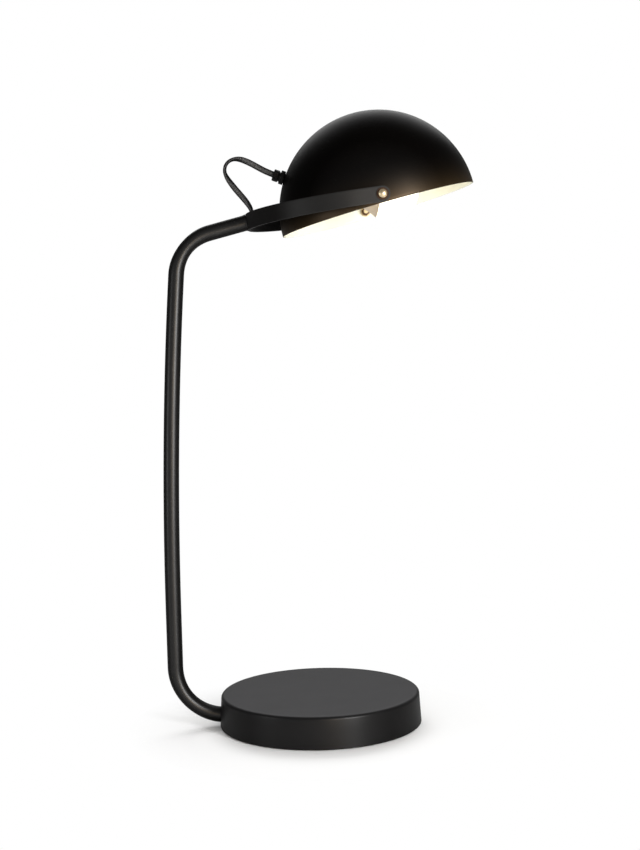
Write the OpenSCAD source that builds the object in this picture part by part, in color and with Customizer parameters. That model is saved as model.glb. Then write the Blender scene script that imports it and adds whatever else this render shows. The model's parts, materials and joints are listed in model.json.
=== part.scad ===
// Dome shade desk lamp: a weighted round base, a bent tube stem, a U-shaped yoke and a tilting
// hemispherical shade with its lampholder and bulb. Millimetres. +Z is up, +X runs from the stem
// towards the front of the shade, and the origin is the centre of the base on the table.

/* [Base] */
// Diameter of the base at its lower edge
base_d = 208; // [190:1:240]
// How much narrower the base is at its top
base_taper = 3.5; // [0:0.5:8]
// Height of the base's top above the table
base_h = 32.7; // [30:0.1:45]
// Thickness of the housing's sheet steel
base_wall = 1.5; // [1:0.1:2]
// Radius rounded on the base's upper edge
base_edge_r = 3.5; // [2.5:0.5:6]
// Thickness of the felt pad
pad_t = 2.2; // [1.5:0.1:3]
// How far the pad stands below the housing's edge
pad_proud = 0.8; // [0.4:0.1:1.2]
// Thickness of the bottom plate
plate_t = 1.2; // [1:0.1:2]
// Thickness of the iron weight
weight_t = 12; // [8:0.5:14]
// Gap between the weight or bottom plate and the housing's side
base_inner_gap = 0.3; // [0.2:0.1:0.6]
// Gap between the weight's edge and the housing's side
weight_gap = 6.7; // [2:0.1:12]
// Distance of the housing posts in from the weight's edge
post_inset = 21; // [14:1:30]
// Diameter of a housing post
post_d = 10; // [8:0.5:12]
// Number of housing posts and base screws
post_count = 3; // [3:1:3]
// Direction of the first housing post, from the front
post_angle = -20; // [-28:1:-12]
// Shank diameter of the base screws
base_screw_d = 4; // [3:0.5:5]

/* [Mains inlet] */
// Direction of the inlet round the base, from the front
inlet_angle = 125; // [115:1:140]
// Diameter of the inlet gland's neck, in the housing wall
gland_d = 12; // [10:0.5:12.5]
// Bore of the inlet gland
gland_bore = 7; // [6.5:0.1:7.5]
// Width of the gland's flange, outside the wall
gland_flange_d = 17; // [16:0.5:18]
// Thickness of the gland's flange
gland_flange_t = 4; // [2:0.5:6]
// Thickness of the gland's inner nut
gland_nut_t = 3; // [2:0.5:4]

/* [Stem] */
// Outer diameter of the stem's tube
tube_d = 16; // [14:0.5:18]
// Wall of the stem's tube
tube_wall = 1.2; // [0.8:0.1:1.6]
// How far the upright part of the stem stands behind the base
stem_behind = 44.5; // [40:0.1:60]
// How far the tube reaches into the base from its side
tube_in = 42; // [36:1:50]
// Radius of the lower bend
low_bend_r = 51.5; // [46:0.5:56]
// Length of the straight part above the lower bend
stem_straight = 58; // [20:1:160]
// Radius of the stem's gentle forward bow
bow_r = 4250; // [3000:50:6000]
// Turn of the bow, in degrees
bow_turn = 4.64; // [3:0.02:6]
// Radius of the upper bend
top_bend_r = 46.3; // [40:0.1:60]
// Rise of the arm, in degrees
arm_rise = 14.1; // [8:0.1:20]
// Length of the straight arm that reaches the yoke
arm_len = 39; // [30:1:60]
// Width of the saddle that holds the tube in the base
saddle_len = 24; // [16:1:28]
// Thickness of the saddle's strip
saddle_t = 2; // [1.5:0.5:3]
// Distance of the flex anchor in from the weight's edge
anchor_inset = 26.6; // [22:0.1:32]

/* [Yoke] */
// Length of the yoke's straight sides, from the pivots back to its round part
yoke_back = 22.7; // [18:0.1:40]
// Gap between the shade's widest part and the yoke
yoke_clear = 4; // [3:0.1:10]
// Thickness of the yoke's strip
strip_t = 3; // [2.5:0.5:4]
// Width of the strip at the pivots
strip_w_pivot = 15; // [14:0.1:18]
// Width of the strip at the stem
strip_w_root = 16.2; // [15:0.1:18]
// Rise of the yoke towards the pivots, in degrees
yoke_rise = 7.2; // [3:0.1:12]
// Diameter of the hole that the flex comes out of
flex_hole_d = 11; // [10.5:0.1:11.5]
// Wall of the bush in that hole
bush_wall = 0.9; // [0.8:0.1:1]
// Thickness of the bush's flange
bush_flange = 0.8; // [0.6:0.1:1.2]

/* [Pivots] */
// Shank diameter of the pivot screws
pivot_d = 5; // [4:0.5:6]
// Radial clearance of the pivot screws in the yoke
pivot_clear = 0.05; // [0.02:0.01:0.1]
// Height of the pivots above the shade's rim plane
pivot_above_rim = 7.8; // [6:0.1:14]
// Distance of the pivots behind the shade's middle
pivot_setback = 2.8; // [0:0.1:6]
// Diameter of the brass heads
knob_d = 8; // [7:0.5:10]
// Height of the brass heads
knob_h = 4; // [3:0.5:5]
// Diameter of the outer washers
washer_d = 11.4; // [10:0.1:14]
// Thickness of every pivot washer
washer_t = 1; // [0.6:0.1:1.4]
// Diameter of the friction bushes
bush_d = 14; // [11:0.5:16]
// Width across the flats of the inner nuts
inner_nut_af = 8; // [7.5:0.5:9]
// Diameter of the flange on the inner nuts
inner_nut_flange_d = 10.7; // [10:0.1:12]
// Running gap between parts that turn against each other
running_gap = 0.1; // [0.05:0.01:0.2]

/* [Shade] */
// Outer diameter of the shade
shade_d = 200; // [196:1:204]
// Thickness of the shade's sheet
shade_wall = 1; // [0.8:0.1:1.5]
// Upward tilt of the shade's front as photographed, in degrees
shade_tilt = 14.4; // [0:0.1:20]

/* [Flex grip] */
// Angle of the flex grip above the rim plane, at the shade's back
grip_angle = 34.3; // [30:0.1:38]
// Diameter of the grip's thread, through the shade
grip_thread_d = 10; // [9:0.5:11]
// Bore of the grip
grip_bore = 6.6; // [6.2:0.1:7]
// Width across the flats of the grip's collar
collar_af = 13.5; // [12:0.5:16]
// Height of the grip's collar
collar_t = 4.5; // [3:0.5:6]
// Height of the narrow neck between collar and clamp
neck_t = 1.3; // [1:0.1:4]
// Diameter of the clamp
clamp_d = 12.2; // [11:0.1:16]
// Height of the clamp
clamp_t = 6; // [5:0.5:10]
// Diameter of the clamp screw's head
clamp_head_d = 5; // [4:0.5:6]

/* [Lampholder] */
// Angle of the bracket's front plate above the rim plane, in degrees
holder_angle = 36.68; // [36:0.02:38]
// Distance from the shade's inside to the middle of the bracket's front plate
holder_inset = 14.96; // [14:0.02:18]
// Angle of the bulb's axis below the rim plane, in degrees
bulb_dip = 22.2; // [21:0.1:24]
// Thickness of the bracket's sheet
bracket_t = 1.5; // [1:0.1:1.6]
// Width of the bracket
bracket_w = 20; // [18:1:22]
// Gap between the bulb's housing and the lampholder's skirt
skirt_gap = 1.6; // [1.4:0.1:3]
// Wall of the lampholder's mouldings
holder_wall = 2; // [1.5:0.1:2.4]
// How far the skirt reaches past the bulb's screw cap, over the housing
skirt_over = 4.8; // [3:0.1:6]
// Diameter of the threaded nipple
nipple_d = 10; // [9.5:0.1:10]
// Bore of the threaded nipple
nipple_bore = 8; // [7.5:0.1:8.4]

/* [Bulb] */
// Diameter of the bulb's globe
globe_d = 60; // [56:1:60]
// Wall of the globe
globe_wall = 1.2; // [0.8:0.1:1.6]
// Overall length of the bulb
bulb_len = 109; // [100:0.5:125]
// Diameter of the bulb's screw cap over its thread
cap_d = 26.5; // [26:0.1:26.7]
// Length of the bulb's screw cap
cap_len = 24; // [22:0.5:25]
// Distance from the globe's centre to where the housing meets the globe
globe_seam = 9.8; // [8:0.1:12]
// Flare of the bulb's housing: 1 is a straight cone, more is a trumpet
housing_flare = 1.8; // [1:0.1:2.2]
// Radius of the bulb's housing at the screw cap
housing_neck_r = 14.4; // [14:0.1:15]
// Wall of the bulb's housing
housing_wall = 1.4; // [1:0.1:1.8]

/* [Flex] */
// Width of the flat flex
flex_w = 6.2; // [5.5:0.1:6.4]
// Thickness of the flat flex
flex_t = 3.7; // [3.2:0.1:4]
// Diameter of the flex where it is hidden
lead_d = 5; // [4.5:0.1:5.4]
// Straight run of the lead from the tube's end to its bend inside the base
lead_run = 4.4; // [3:0.1:10]

/* [Hidden] */
$fn = 72;

cut = 1; // how far a cutting solid runs past the face that it cuts
seat = 0.1; // gap between pieces that lie on each other but are round or tilted

// Levels in the base
plate_top = pad_t + plate_t;
weight_top = plate_top + weight_t;
stem_z = plate_top + seat + tube_d / 2;
side_slope = atan(base_taper / 2 / (base_h - pad_proud));
function side_r(z) = base_d / 2 - (z - pad_proud) * tan(side_slope);
edge_x = side_r(base_h - base_edge_r) - base_edge_r / cos(side_slope);
edge_z = base_h - base_edge_r;
inlet_r = side_r(stem_z);
weight_r = side_r(weight_top) - base_wall / cos(side_slope) - weight_gap;
post_circle_r = weight_r - post_inset;
tube_end_back = base_d / 2 - tube_in;
stem_reach = base_d / 2 + stem_behind;
lead_half = (180 - inlet_angle) / 2;
lead_bend_r = (tube_end_back - lead_run) * tan(lead_half);

// The shade's and the yoke's sizes
shade_r = shade_d / 2;
shade_inner_r = shade_r - shade_wall;
yoke_inner_half = shade_r + yoke_clear;
yoke_half = yoke_inner_half + strip_t;
yoke_reach = yoke_back + yoke_half;

// The stem's path, in the XZ plane
top_turn = 90 - bow_turn - arm_rise;
bow_end = [-stem_reach + bow_r * (1 - cos(bow_turn)),
           stem_z + low_bend_r + stem_straight + bow_r * sin(bow_turn)];
top_centre = bow_end + top_bend_r * [cos(bow_turn), -sin(bow_turn)];
arm_end = top_centre + top_bend_r * [-sin(arm_rise), cos(arm_rise)]
          + arm_len * [cos(arm_rise), sin(arm_rise)];
pivot = arm_end + yoke_reach * [cos(yoke_rise), sin(yoke_rise)];

// The shade, in its own frame: the origin is the sphere's centre in the rim plane
function sphere_side(r, along) = sqrt(r * r - along * along);
pivot_off = norm([pivot_setback, pivot_above_rim]);
pivot_seat_out = sphere_side(shade_r, pivot_off);
pivot_seat_in = sphere_side(shade_inner_r, pivot_off + inner_nut_flange_d / 2) - seat / 2;
knob_from = yoke_half + running_gap + washer_t;
bracket_back = shade_inner_r - 2 * seat;

// The lampholder and the bulb, along the bulb's axis from the globe's centre towards the cap
globe_r = globe_d / 2;
bulb_end = bulb_len - globe_r;
contact_t = 0.8;
insulator_t = 2.4;
cap_top = bulb_end - contact_t - insulator_t;
cap_bottom = cap_top - cap_len;
housing_from = globe_seam + seat;
housing_to = cap_bottom - 2;
seam_r = sqrt(globe_r * globe_r - globe_seam * globe_seam);
insert_from = bulb_end + 1.2;
insert_t = 3.2;
boss_t = 2.6;
terminal_t = 1.8;
holder_shoulder = insert_from + insert_t;
holder_top = holder_shoulder + boss_t + terminal_t + 0.6 + holder_wall;
bracket_at = holder_top + seat;
skirt_from = cap_bottom - skirt_over;
skirt_r = housing_outer(skirt_from) + skirt_gap + holder_wall;
globe_centre = (shade_inner_r - holder_inset) * [-cos(holder_angle), sin(holder_angle)]
    + bracket_at * [cos(bulb_dip), -sin(bulb_dip)];
// Radius of the bulb's housing at a distance from the globe's centre: it flares towards the globe
function housing_outer(z) = housing_neck_r
    + (seam_r - housing_neck_r) * pow((housing_to - z) / (housing_to - housing_from), housing_flare);
heat_t = 1.5;
heat_top = globe_seam + 4.5;
board_t = 1.2;

// The free flex in the XZ plane, from the grip to the yoke's root, seen from the pivots, with its
// roll in degrees:
// at 0 the flex lies with its width in that plane, at 90 across it
FLEX_ROUTE = [[-101.2, 31.6, 10], [-108.7, 35.1, 0], [-115.3, 38.7, 0], [-121.3, 42.1, 5],
              [-127.4, 45.1, 15], [-133.5, 47.2, 40], [-139.8, 47.4, 75], [-145.1, 45.1, 90],
              [-148.4, 40.7, 90], [-149.1, 34.9, 80], [-146.8, 28.9, 50], [-142.8, 22.8, 25],
              [-138.2, 16.7, 10], [-133.1, 10.6, 10], [-128.3, 4.5, 25], [-124.5, -1.6, 50],
              [-123, -7.2, 80], [-123.5, -11.3, 90], [-125.5, -14.9, 90], [-128.7, -17.6, 90],
              [-131.8, -18.8, 90]];
flex_sides = 10;
flex_steps = 3;

// ---------------------------------------------------------------- frames

module at_yoke() translate([pivot[0], 0, pivot[1]]) rotate([0, -yoke_rise, 0]) children();

module at_shade() {
    translate([pivot[0], 0, pivot[1]]) rotate([0, -shade_tilt, 0])
        translate([pivot_setback, 0, -pivot_above_rim]) children();
}

// +Z runs out of the shade, along the grip
module at_grip() at_shade() rotate([0, grip_angle - 90, 0]) children();

// +Z runs from the globe's centre towards the lampholder
module at_bulb() {
    at_shade() translate([globe_centre[0], 0, globe_centre[1]]) rotate([0, bulb_dip - 90, 0]) children();
}

// Both pivots, each with +Z running outwards
module at_pivots() {
    at_shade() for (side = [-1, 1])
        translate([-pivot_setback, 0, pivot_above_rim]) rotate([-side * 90, 0, 0]) children();
}

module at_posts() {
    for (i = [0 : post_count - 1])
        rotate([0, 0, post_angle + i * 360 / post_count]) translate([post_circle_r, 0, 0]) children();
}

// The mains inlet, with +Z running outwards from the base's axis
module at_inlet() {
    rotate([0, 0, inlet_angle]) translate([0, 0, stem_z]) rotate([0, 90, 0]) children();
}

// ---------------------------------------------------------------- shared shapes

module ring(h, r, bore) {
    difference() {
        cylinder(h = h, r = r);
        translate([0, 0, -cut]) cylinder(h = h + 2 * cut, r = bore);
    }
}

module hex(h, flats) cylinder(h = h, d = flats / cos(30), $fn = 6);

module hex_nut(h, flats, bore) {
    difference() {
        hex(h, flats);
        translate([0, 0, -cut]) cylinder(h = h + 2 * cut, r = bore);
    }
}

function bar_sides(r) = r > 5 ? 48 : 24;

// A straight length of round bar along +Z, with children at its end
module straight(length, r) {
    cylinder(h = length, r = r, $fn = bar_sides(r));
    translate([0, 0, length]) children();
}

// A bend of round bar from +Z towards +X, with children at its end
module bend(radius, turn, r, facets = 144) {
    translate([radius, 0, 0]) rotate([90, 0, 180])
        rotate_extrude(angle = turn, $fn = facets) translate([radius, 0]) circle(r = r, $fn = bar_sides(r));
    translate([radius * (1 - cos(turn)), 0, radius * sin(turn)]) rotate([0, turn, 0]) children();
}

// The next length of bar starts a little inside the last one, a hair thinner, so that they join
lap = 0.1;
hair = 0.04;
module lapped() translate([0, 0, -lap]) children();

// A bar that follows the stem's axis, longer by extra at both ends and shorter by short at its top
module stem_bar(r, extra = 0, short = 0) {
    translate([-tube_end_back + extra, 0, stem_z]) rotate([0, -90, 0])
        straight(stem_reach - low_bend_r - tube_end_back + extra, r)
        bend(low_bend_r, 90, r)
        straight(stem_straight, r)
        bend(bow_r, bow_turn, r, 2880) lapped()
        bend(top_bend_r, top_turn, r - hair) lapped()
        straight(arm_len + 2 * lap + extra - short, r - 2 * hair);
}

// ---------------------------------------------------------------- base

// Half of the base's section, inset by a wall, from a level up
module base_section(inset, from_z) {
    edge = base_edge_r - inset;
    polygon([[0, from_z], [side_r(from_z) - inset / cos(side_slope), from_z],
             [edge_x + edge * cos(side_slope), edge_z + edge * sin(side_slope)],
             [edge_x, edge_z + edge], [0, edge_z + edge]]);
    translate([edge_x, edge_z]) circle(r = edge);
}

module base_housing() color("#2b2a2b") difference() {
    rotate_extrude() difference() {
        base_section(0, pad_proud);
        base_section(base_wall, pad_proud - cut);
    }
    translate([-tube_end_back, 0, stem_z]) rotate([0, -90, 0])
        straight(stem_reach - low_bend_r - tube_end_back, tube_d / 2 + seat)
        bend(low_bend_r, 30, tube_d / 2 + seat);
    at_inlet() translate([0, 0, inlet_r - 3 * base_wall])
        cylinder(h = 6 * base_wall, r = gland_d / 2 + seat);
}

module housing_posts() color("silver") at_posts() {
    translate([0, 0, weight_top])
        ring(base_h - base_wall - weight_top, post_d / 2, base_screw_d / 2 + seat / 2);
}

// The run of the lead from the tube's end round to the inlet, seen from above
module lead_groove() {
    translate([-tube_end_back - cut, -tube_d / 2 - 2 * seat])
        square([tube_end_back - weight_r / 4, lead_bend_r + tube_d]);
    rotate([0, 0, inlet_angle]) translate([weight_r / 3, -lead_d]) square([weight_r, 2 * lead_d]);
}

module base_weight() color("#55575a") difference() {
    translate([0, 0, plate_top]) linear_extrude(weight_t) difference() {
        circle(r = weight_r, $fn = 144);
        translate([-weight_r - cut, -tube_d / 2 - 2 * seat])
            square([weight_r - tube_end_back + 4 * cut, tube_d + 4 * seat]);
    }
    translate([0, 0, stem_z - lead_d / 2 - 5 * seat]) linear_extrude(weight_t) lead_groove();
    at_posts() translate([0, 0, plate_top - cut])
        cylinder(h = weight_t + 2 * cut, r = base_screw_d / 2 + 2 * seat);
}

module bottom_plate() color("#8c8f92") difference() {
    translate([0, 0, pad_t])
        cylinder(h = plate_t, r1 = plate_r(pad_t), r2 = plate_r(plate_top), $fn = 144);
    at_posts() {
        translate([0, 0, pad_t - cut]) cylinder(h = plate_t + 2 * cut, r = base_screw_d / 2 + 2 * seat);
        translate([0, 0, pad_t - seat])
            cylinder(h = plate_t, r1 = base_screw_d / 2 + 2 * seat + plate_t, r2 = base_screw_d / 2 + 2 * seat);
    }
}
function plate_r(z) = side_r(z) - base_wall / cos(side_slope) - base_inner_gap;

module base_screws() color("silver") at_posts() {
    translate([0, 0, pad_t]) cylinder(h = plate_t, r1 = base_screw_d / 2 + plate_t, r2 = base_screw_d / 2);
    translate([0, 0, pad_t]) cylinder(h = plate_t + weight_t + post_d, r = base_screw_d / 2);
}

// A felt disc with a hole for each screw's head
module foot_pad() color("#1d1d1f") difference() {
    cylinder(h = pad_t, r = plate_r(pad_t) - base_wall, $fn = 144);
    at_posts() translate([0, 0, -cut]) cylinder(h = pad_t + 2 * cut, r = base_screw_d / 2 + plate_t + 2);
}

// How far out the flange's flat face stands, so that it clears the sloped side below it
gland_seat = gland_flange_d / 2 * tan(side_slope) + seat;

module inlet_gland() color("#161616") at_inlet() difference() {
    union() {
        translate([0, 0, inlet_r + gland_seat]) cylinder(h = gland_flange_t, r = gland_flange_d / 2);
        translate([0, 0, inlet_r - base_wall - 2 * gland_nut_t])
            cylinder(h = base_wall + 2 * gland_nut_t + gland_flange_t / 2, r = gland_d / 2);
    }
    translate([0, 0, inlet_r - base_wall - 2 * gland_nut_t - cut])
        cylinder(h = base_wall + 2 * gland_nut_t + gland_flange_t + gland_seat + 2 * cut, r = gland_bore / 2);
}

// The nut stands on a flat, as high above the bottom plate as the tube
module gland_nut() color("#161616") at_inlet() {
    translate([0, 0, inlet_r - base_wall / cos(side_slope) - gland_nut_t - gland_d * sin(side_slope) - seat])
        rotate([0, 0, 30]) hex_nut(gland_nut_t, 2 * (stem_z - plate_top - seat), gland_d / 2 + seat / 2);
}

// ---------------------------------------------------------------- stem

module stem_tube() color("#2b2a2b") difference() {
    stem_bar(tube_d / 2, short = -strip_t);
    stem_bar(tube_d / 2 - tube_wall, 2 * strip_t);
    at_yoke() translate([yoke_half - yoke_reach, 0, -tube_d])
        cylinder(h = 2 * tube_d, r = yoke_half, $fn = 288);
}

saddle_x = 3 * seat + saddle_len / 2 - weight_r;

// An arch over the tube with a foot on the weight at each side
module saddle_section() {
    foot = tube_d + 8 * saddle_t;
    difference() {
        union() {
            translate([stem_z, 0]) circle(r = tube_d / 2 + seat + saddle_t);
            translate([weight_top, -foot / 2]) square([saddle_t, foot]);
        }
        translate([stem_z, 0]) circle(r = tube_d / 2 + seat);
        translate([stem_z - tube_d, -foot]) square([tube_d + weight_t + plate_top - stem_z, 2 * foot]);
        translate([0, -tube_d / 2 - seat]) square([stem_z, tube_d + 2 * seat]);
    }
}

module at_saddle_screws() {
    for (side = [-1, 1], end = [-1, 1])
        translate([saddle_x + end * saddle_len / 4, side * (tube_d / 2 + 3 * saddle_t - seat), 0]) children();
}

module stem_saddle() color("silver") difference() {
    translate([saddle_x - saddle_len / 2, 0, 0]) rotate([0, 90, 0]) mirror([1, 0, 0])
        linear_extrude(saddle_len) saddle_section();
    at_saddle_screws() cylinder(h = base_h, r = 1.5 * saddle_t / 2 + seat / 2);
}

module saddle_screws() color("#c9c9c9") at_saddle_screws() {
    translate([0, 0, weight_top]) cylinder(h = saddle_t, r = 1.5 * saddle_t / 2);
    translate([0, 0, weight_top + saddle_t]) cylinder(h = saddle_t, r = 1.5 * saddle_t);
}

// A bush in the tube's mouth, so that the edge doesn't cut the flex
module tube_end_bush() color("#161616")
    translate([-tube_end_back, 0, stem_z]) rotate([0, -90, 0]) difference() {
        union() {
            translate([0, 0, -1.5]) cylinder(h = 1.5, r = tube_d / 2);
            cylinder(h = tube_d / 2, r = tube_d / 2 - tube_wall - seat / 2);
        }
        translate([0, 0, -1.5 - cut]) cylinder(h = tube_d, r = lead_d / 2 + 3 * seat);
    }

anchor_r = weight_r - anchor_inset; // how far out the anchor bar crosses the wiring slot

module at_anchor() rotate([0, 0, inlet_angle]) translate([anchor_r, 0, 0]) children();

module at_anchor_screws() at_anchor() for (side = [-1, 1]) translate([0, side * 2 * lead_d, 0]) children();

// A bar across the wiring slot, with a boss that presses on the flex
module flex_anchor() color("#e8e4d8") difference() {
    at_anchor() union() {
        translate([-lead_d, -3 * lead_d, weight_top]) cube([2 * lead_d, 6 * lead_d, 3]);
        translate([-lead_d, -lead_d + seat, stem_z + lead_d / 2 + seat])
            cube([2 * lead_d, 2 * lead_d - 2 * seat, weight_top - stem_z - lead_d / 2]);
    }
    at_anchor_screws() cylinder(h = base_h, r = 1.5 + seat / 2);
}

module anchor_screws() color("#c9c9c9") at_anchor_screws() {
    translate([0, 0, weight_top]) cylinder(h = 3, r = 1.5);
    translate([0, 0, weight_top + 3]) cylinder(h = 2, r = 3);
}

// The flex from the inlet round to the tube and up through the stem
module stem_lead() color("#1c1c1e") {
    r = lead_d / 2;
    reach = lead_bend_r / tan(lead_half);
    stem_bar(r, short = 2 * strip_t);
    translate([-tube_end_back - lap, 0, stem_z]) rotate([0, 90, 0])
        cylinder(h = tube_end_back - reach + 2 * lap, r = r - hair, $fn = bar_sides(r));
    translate([-reach, lead_bend_r, stem_z]) rotate([0, 0, -90])
        rotate_extrude(angle = 180 - 2 * lead_half) translate([lead_bend_r, 0])
            circle(r = r - 2 * hair, $fn = bar_sides(r));
    at_inlet() translate([0, 0, reach - lap])
        cylinder(h = inlet_r - base_wall - reach + lap, r = r - hair, $fn = bar_sides(r));
}

// ---------------------------------------------------------------- yoke

// The U seen from above, drawn to a distance outside the yoke's inner face
module yoke_plan(out) {
    r = yoke_inner_half + out;
    back = -(yoke_reach - yoke_half);
    translate([back, 0]) circle(r = r, $fn = 144);
    translate([back, -r]) square([-back + strip_w_pivot, 2 * r]);
}

// The strip seen from the side: tapered, round at the pivots
module strip_side() {
    polygon([[-yoke_reach - cut, -strip_w_root / 2], [0, -strip_w_pivot / 2],
             [0, strip_w_pivot / 2], [-yoke_reach - cut, strip_w_root / 2]]);
    circle(r = strip_w_pivot / 2);
}

module yoke_strip() color("#2f2d2c") at_yoke() difference() {
    intersection() {
        translate([0, 0, -strip_w_pivot]) linear_extrude(2 * strip_w_pivot) difference() {
            yoke_plan(strip_t);
            yoke_plan(0);
        }
        rotate([90, 0, 0]) linear_extrude(4 * yoke_half, center = true) strip_side();
    }
    rotate([90, 0, 0]) cylinder(h = 4 * yoke_half, r = pivot_d / 2 + pivot_clear, center = true);
    translate([-yoke_reach - cut, 0, 0]) rotate([0, 90, 0])
        cylinder(h = strip_t + 2 * cut, r = flex_hole_d / 2);
}

// A flanged bush with a flared mouth, so that the strip's edge doesn't cut the flex
module yoke_bush() color("#161616") at_yoke() translate([-yoke_reach, 0, 0]) rotate([0, 90, 0])
    difference() {
        flange_r = flex_hole_d / 2 + 1;
        flange_from = strip_t + yoke_inner_half - sphere_side(yoke_inner_half, flange_r) + seat;
        union() {
            translate([0, 0, seat]) cylinder(h = flange_from, r = flex_hole_d / 2 - seat / 2);
            translate([0, 0, flange_from]) cylinder(h = bush_flange, r = flange_r);
        }
        translate([0, 0, -cut]) cylinder(h = strip_t + 3 * cut, r = flex_hole_d / 2 - bush_wall);
        translate([0, 0, flange_from - bush_flange]) cylinder(h = 2 * bush_flange + hair,
            r1 = flex_hole_d / 2 - bush_wall, r2 = flex_hole_d / 2);
    }

// ---------------------------------------------------------------- pivots

module pivot_screws() color("#b99a63") at_pivots() {
    translate([0, 0, pivot_seat_in - washer_t - 8]) cylinder(h = knob_from - pivot_seat_in + washer_t + 8, r = pivot_d / 2);
    translate([0, 0, knob_from]) pivot_head();
}

// A low cylinder with a domed top
module pivot_head() {
    dome_h = knob_h / 2;
    dome_r = (knob_d * knob_d / 4 + dome_h * dome_h) / (2 * dome_h);
    intersection() {
        cylinder(h = knob_h, r = knob_d / 2);
        translate([0, 0, knob_h - dome_r]) sphere(r = dome_r);
    }
}

module pivot_washers() color("#241f1c") at_pivots() {
    translate([0, 0, yoke_half + running_gap]) ring(washer_t, washer_d / 2, pivot_d / 2 + seat / 2);
}

// A bush that sits on the round shade and runs against the yoke's flat inner face
module friction_bushes() color("#161616") difference() {
    from = pivot_seat_out - bush_d / 6;
    at_pivots() translate([0, 0, from])
        ring(yoke_inner_half - running_gap - from, bush_d / 2, pivot_d / 2 + seat / 2);
    at_shade() sphere(r = shade_r + seat / 2, $fn = 288);
}

module inner_washers() color("#b99a63") at_pivots() {
    translate([0, 0, pivot_seat_in - washer_t]) ring(washer_t, inner_nut_flange_d / 2, pivot_d / 2 + seat / 2);
}

module inner_nuts() color("#b99a63") at_pivots() {
    translate([0, 0, pivot_seat_in - washer_t - 5.5]) hex_nut(5.5, inner_nut_af, pivot_d / 2 + seat / 2);
}

// ---------------------------------------------------------------- shade and flex grip

module shade_dome() color("#131110") at_shade() difference() {
    sphere(r = shade_r, $fn = 144);
    sphere(r = shade_inner_r, $fn = 144);
    translate([0, 0, -shade_r - cut]) cylinder(h = shade_r + cut, r = shade_r + cut);
    rotate([0, grip_angle - 90, 0]) cylinder(h = shade_r + cut, r = grip_thread_d / 2 + seat);
    translate([-pivot_setback, 0, pivot_above_rim]) rotate([90, 0, 0])
        cylinder(h = 2 * shade_r + 2 * cut, r = pivot_d / 2 + seat, center = true);
}

grip_from = shade_r + seat;
clamp_from = grip_from + collar_t + neck_t;
grip_inner_end = bracket_back - bracket_t - 4.8;

module grip_collar() color("#161616") at_grip()
    translate([0, 0, grip_from]) hex_nut(collar_t, collar_af, grip_thread_d / 2 + seat / 2);

module grip_body() color("#161616") difference() {
    at_grip() union() {
        translate([0, 0, grip_inner_end]) cylinder(h = clamp_from - grip_inner_end, r = grip_thread_d / 2);
        translate([0, 0, clamp_from]) cylinder(h = clamp_t, r = clamp_d / 2);
    }
    at_grip() translate([0, 0, grip_inner_end - cut])
        cylinder(h = clamp_from + clamp_t - grip_inner_end + 2 * cut, r = grip_bore / 2);
    at_clamp_screw() cylinder(h = clamp_d, r = 1.5 + seat / 2);
}

// The clamp screw comes in from the side that the camera sees
module at_clamp_screw() at_grip() translate([0, 0, clamp_from + clamp_t / 2]) rotate([90, 0, 0])
    translate([0, 0, lead_d / 2 + seat]) children();

module grip_clamp_screw() color("#0c0c0c") at_clamp_screw() {
    shank = clamp_d / 2 - lead_d / 2 - seat;
    cylinder(h = shank, r = 1.5);
    translate([0, 0, shank]) cylinder(h = 1.4, r = clamp_head_d / 2);
}

module grip_inner_nut() color("#161616") at_grip()
    translate([0, 0, bracket_back - bracket_t - 3.5 - seat]) hex_nut(3.5, collar_af, grip_thread_d / 2 + seat / 2);

// ---------------------------------------------------------------- lampholder

// Points in the shade's mid plane, from the grip's axis and from the bulb's
function grip_point(side, along) = side * [sin(grip_angle), cos(grip_angle)]
    + along * [-cos(grip_angle), sin(grip_angle)];
function bulb_point(side, along) = globe_centre + side * [sin(bulb_dip), cos(bulb_dip)]
    + along * [-cos(bulb_dip), sin(bulb_dip)];

// A strip folded twice: one end under the grip's nut, the other across the bulb's axis
module holder_bracket() color("#c8c8c4") at_shade() difference() {
    intersection() {
        rotate([90, 0, 0]) linear_extrude(bracket_w, center = true) polygon([
            grip_point(-bracket_w / 2, bracket_back), grip_point(bracket_w / 2 + bracket_t, bracket_back),
            bulb_point(bracket_w / 2 + bracket_t, bracket_at), bulb_point(-bracket_w / 2, bracket_at),
            bulb_point(-bracket_w / 2, bracket_at + bracket_t), bulb_point(bracket_w / 2, bracket_at + bracket_t),
            grip_point(bracket_w / 2, bracket_back - bracket_t), grip_point(-bracket_w / 2, bracket_back - bracket_t)]);
        sphere(r = shade_inner_r - seat, $fn = 288);
    }
    rotate([0, grip_angle - 90, 0]) translate([0, 0, bracket_back - bracket_t - cut])
        cylinder(h = bracket_t + 2 * cut, r = grip_thread_d / 2 + seat);
    translate([globe_centre[0], 0, globe_centre[1]]) rotate([0, bulb_dip - 90, 0]) translate([0, 0, bracket_at - cut])
        cylinder(h = bracket_t + 2 * cut, r = nipple_d / 2 + seat);
}

module nipple_nut() color("#c8c8c4") at_bulb()
    translate([0, 0, bracket_at + bracket_t]) hex_nut(2.4, collar_af, nipple_d / 2 + seat / 2);

module holder_nipple() color("#c8c8c4") at_bulb()
    translate([0, 0, holder_top - holder_wall]) ring(holder_wall + bracket_t + 3.4, nipple_d / 2, nipple_bore / 2);

// The terminal cover: a flat top, a slope and a short collar
module holder_cap() color("#1b1b1b") at_bulb() rotate_extrude() {
    r = skirt_r;
    polygon([[nipple_d / 2 + seat / 2, holder_top], [r - 6, holder_top], [r, holder_shoulder + holder_wall],
             [r, insert_from + seat], [r - holder_wall, insert_from + seat], [r - holder_wall, holder_shoulder + 0.6],
             [r - 7, holder_top - holder_wall], [nipple_d / 2 + seat / 2, holder_top - holder_wall]]);
}

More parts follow.
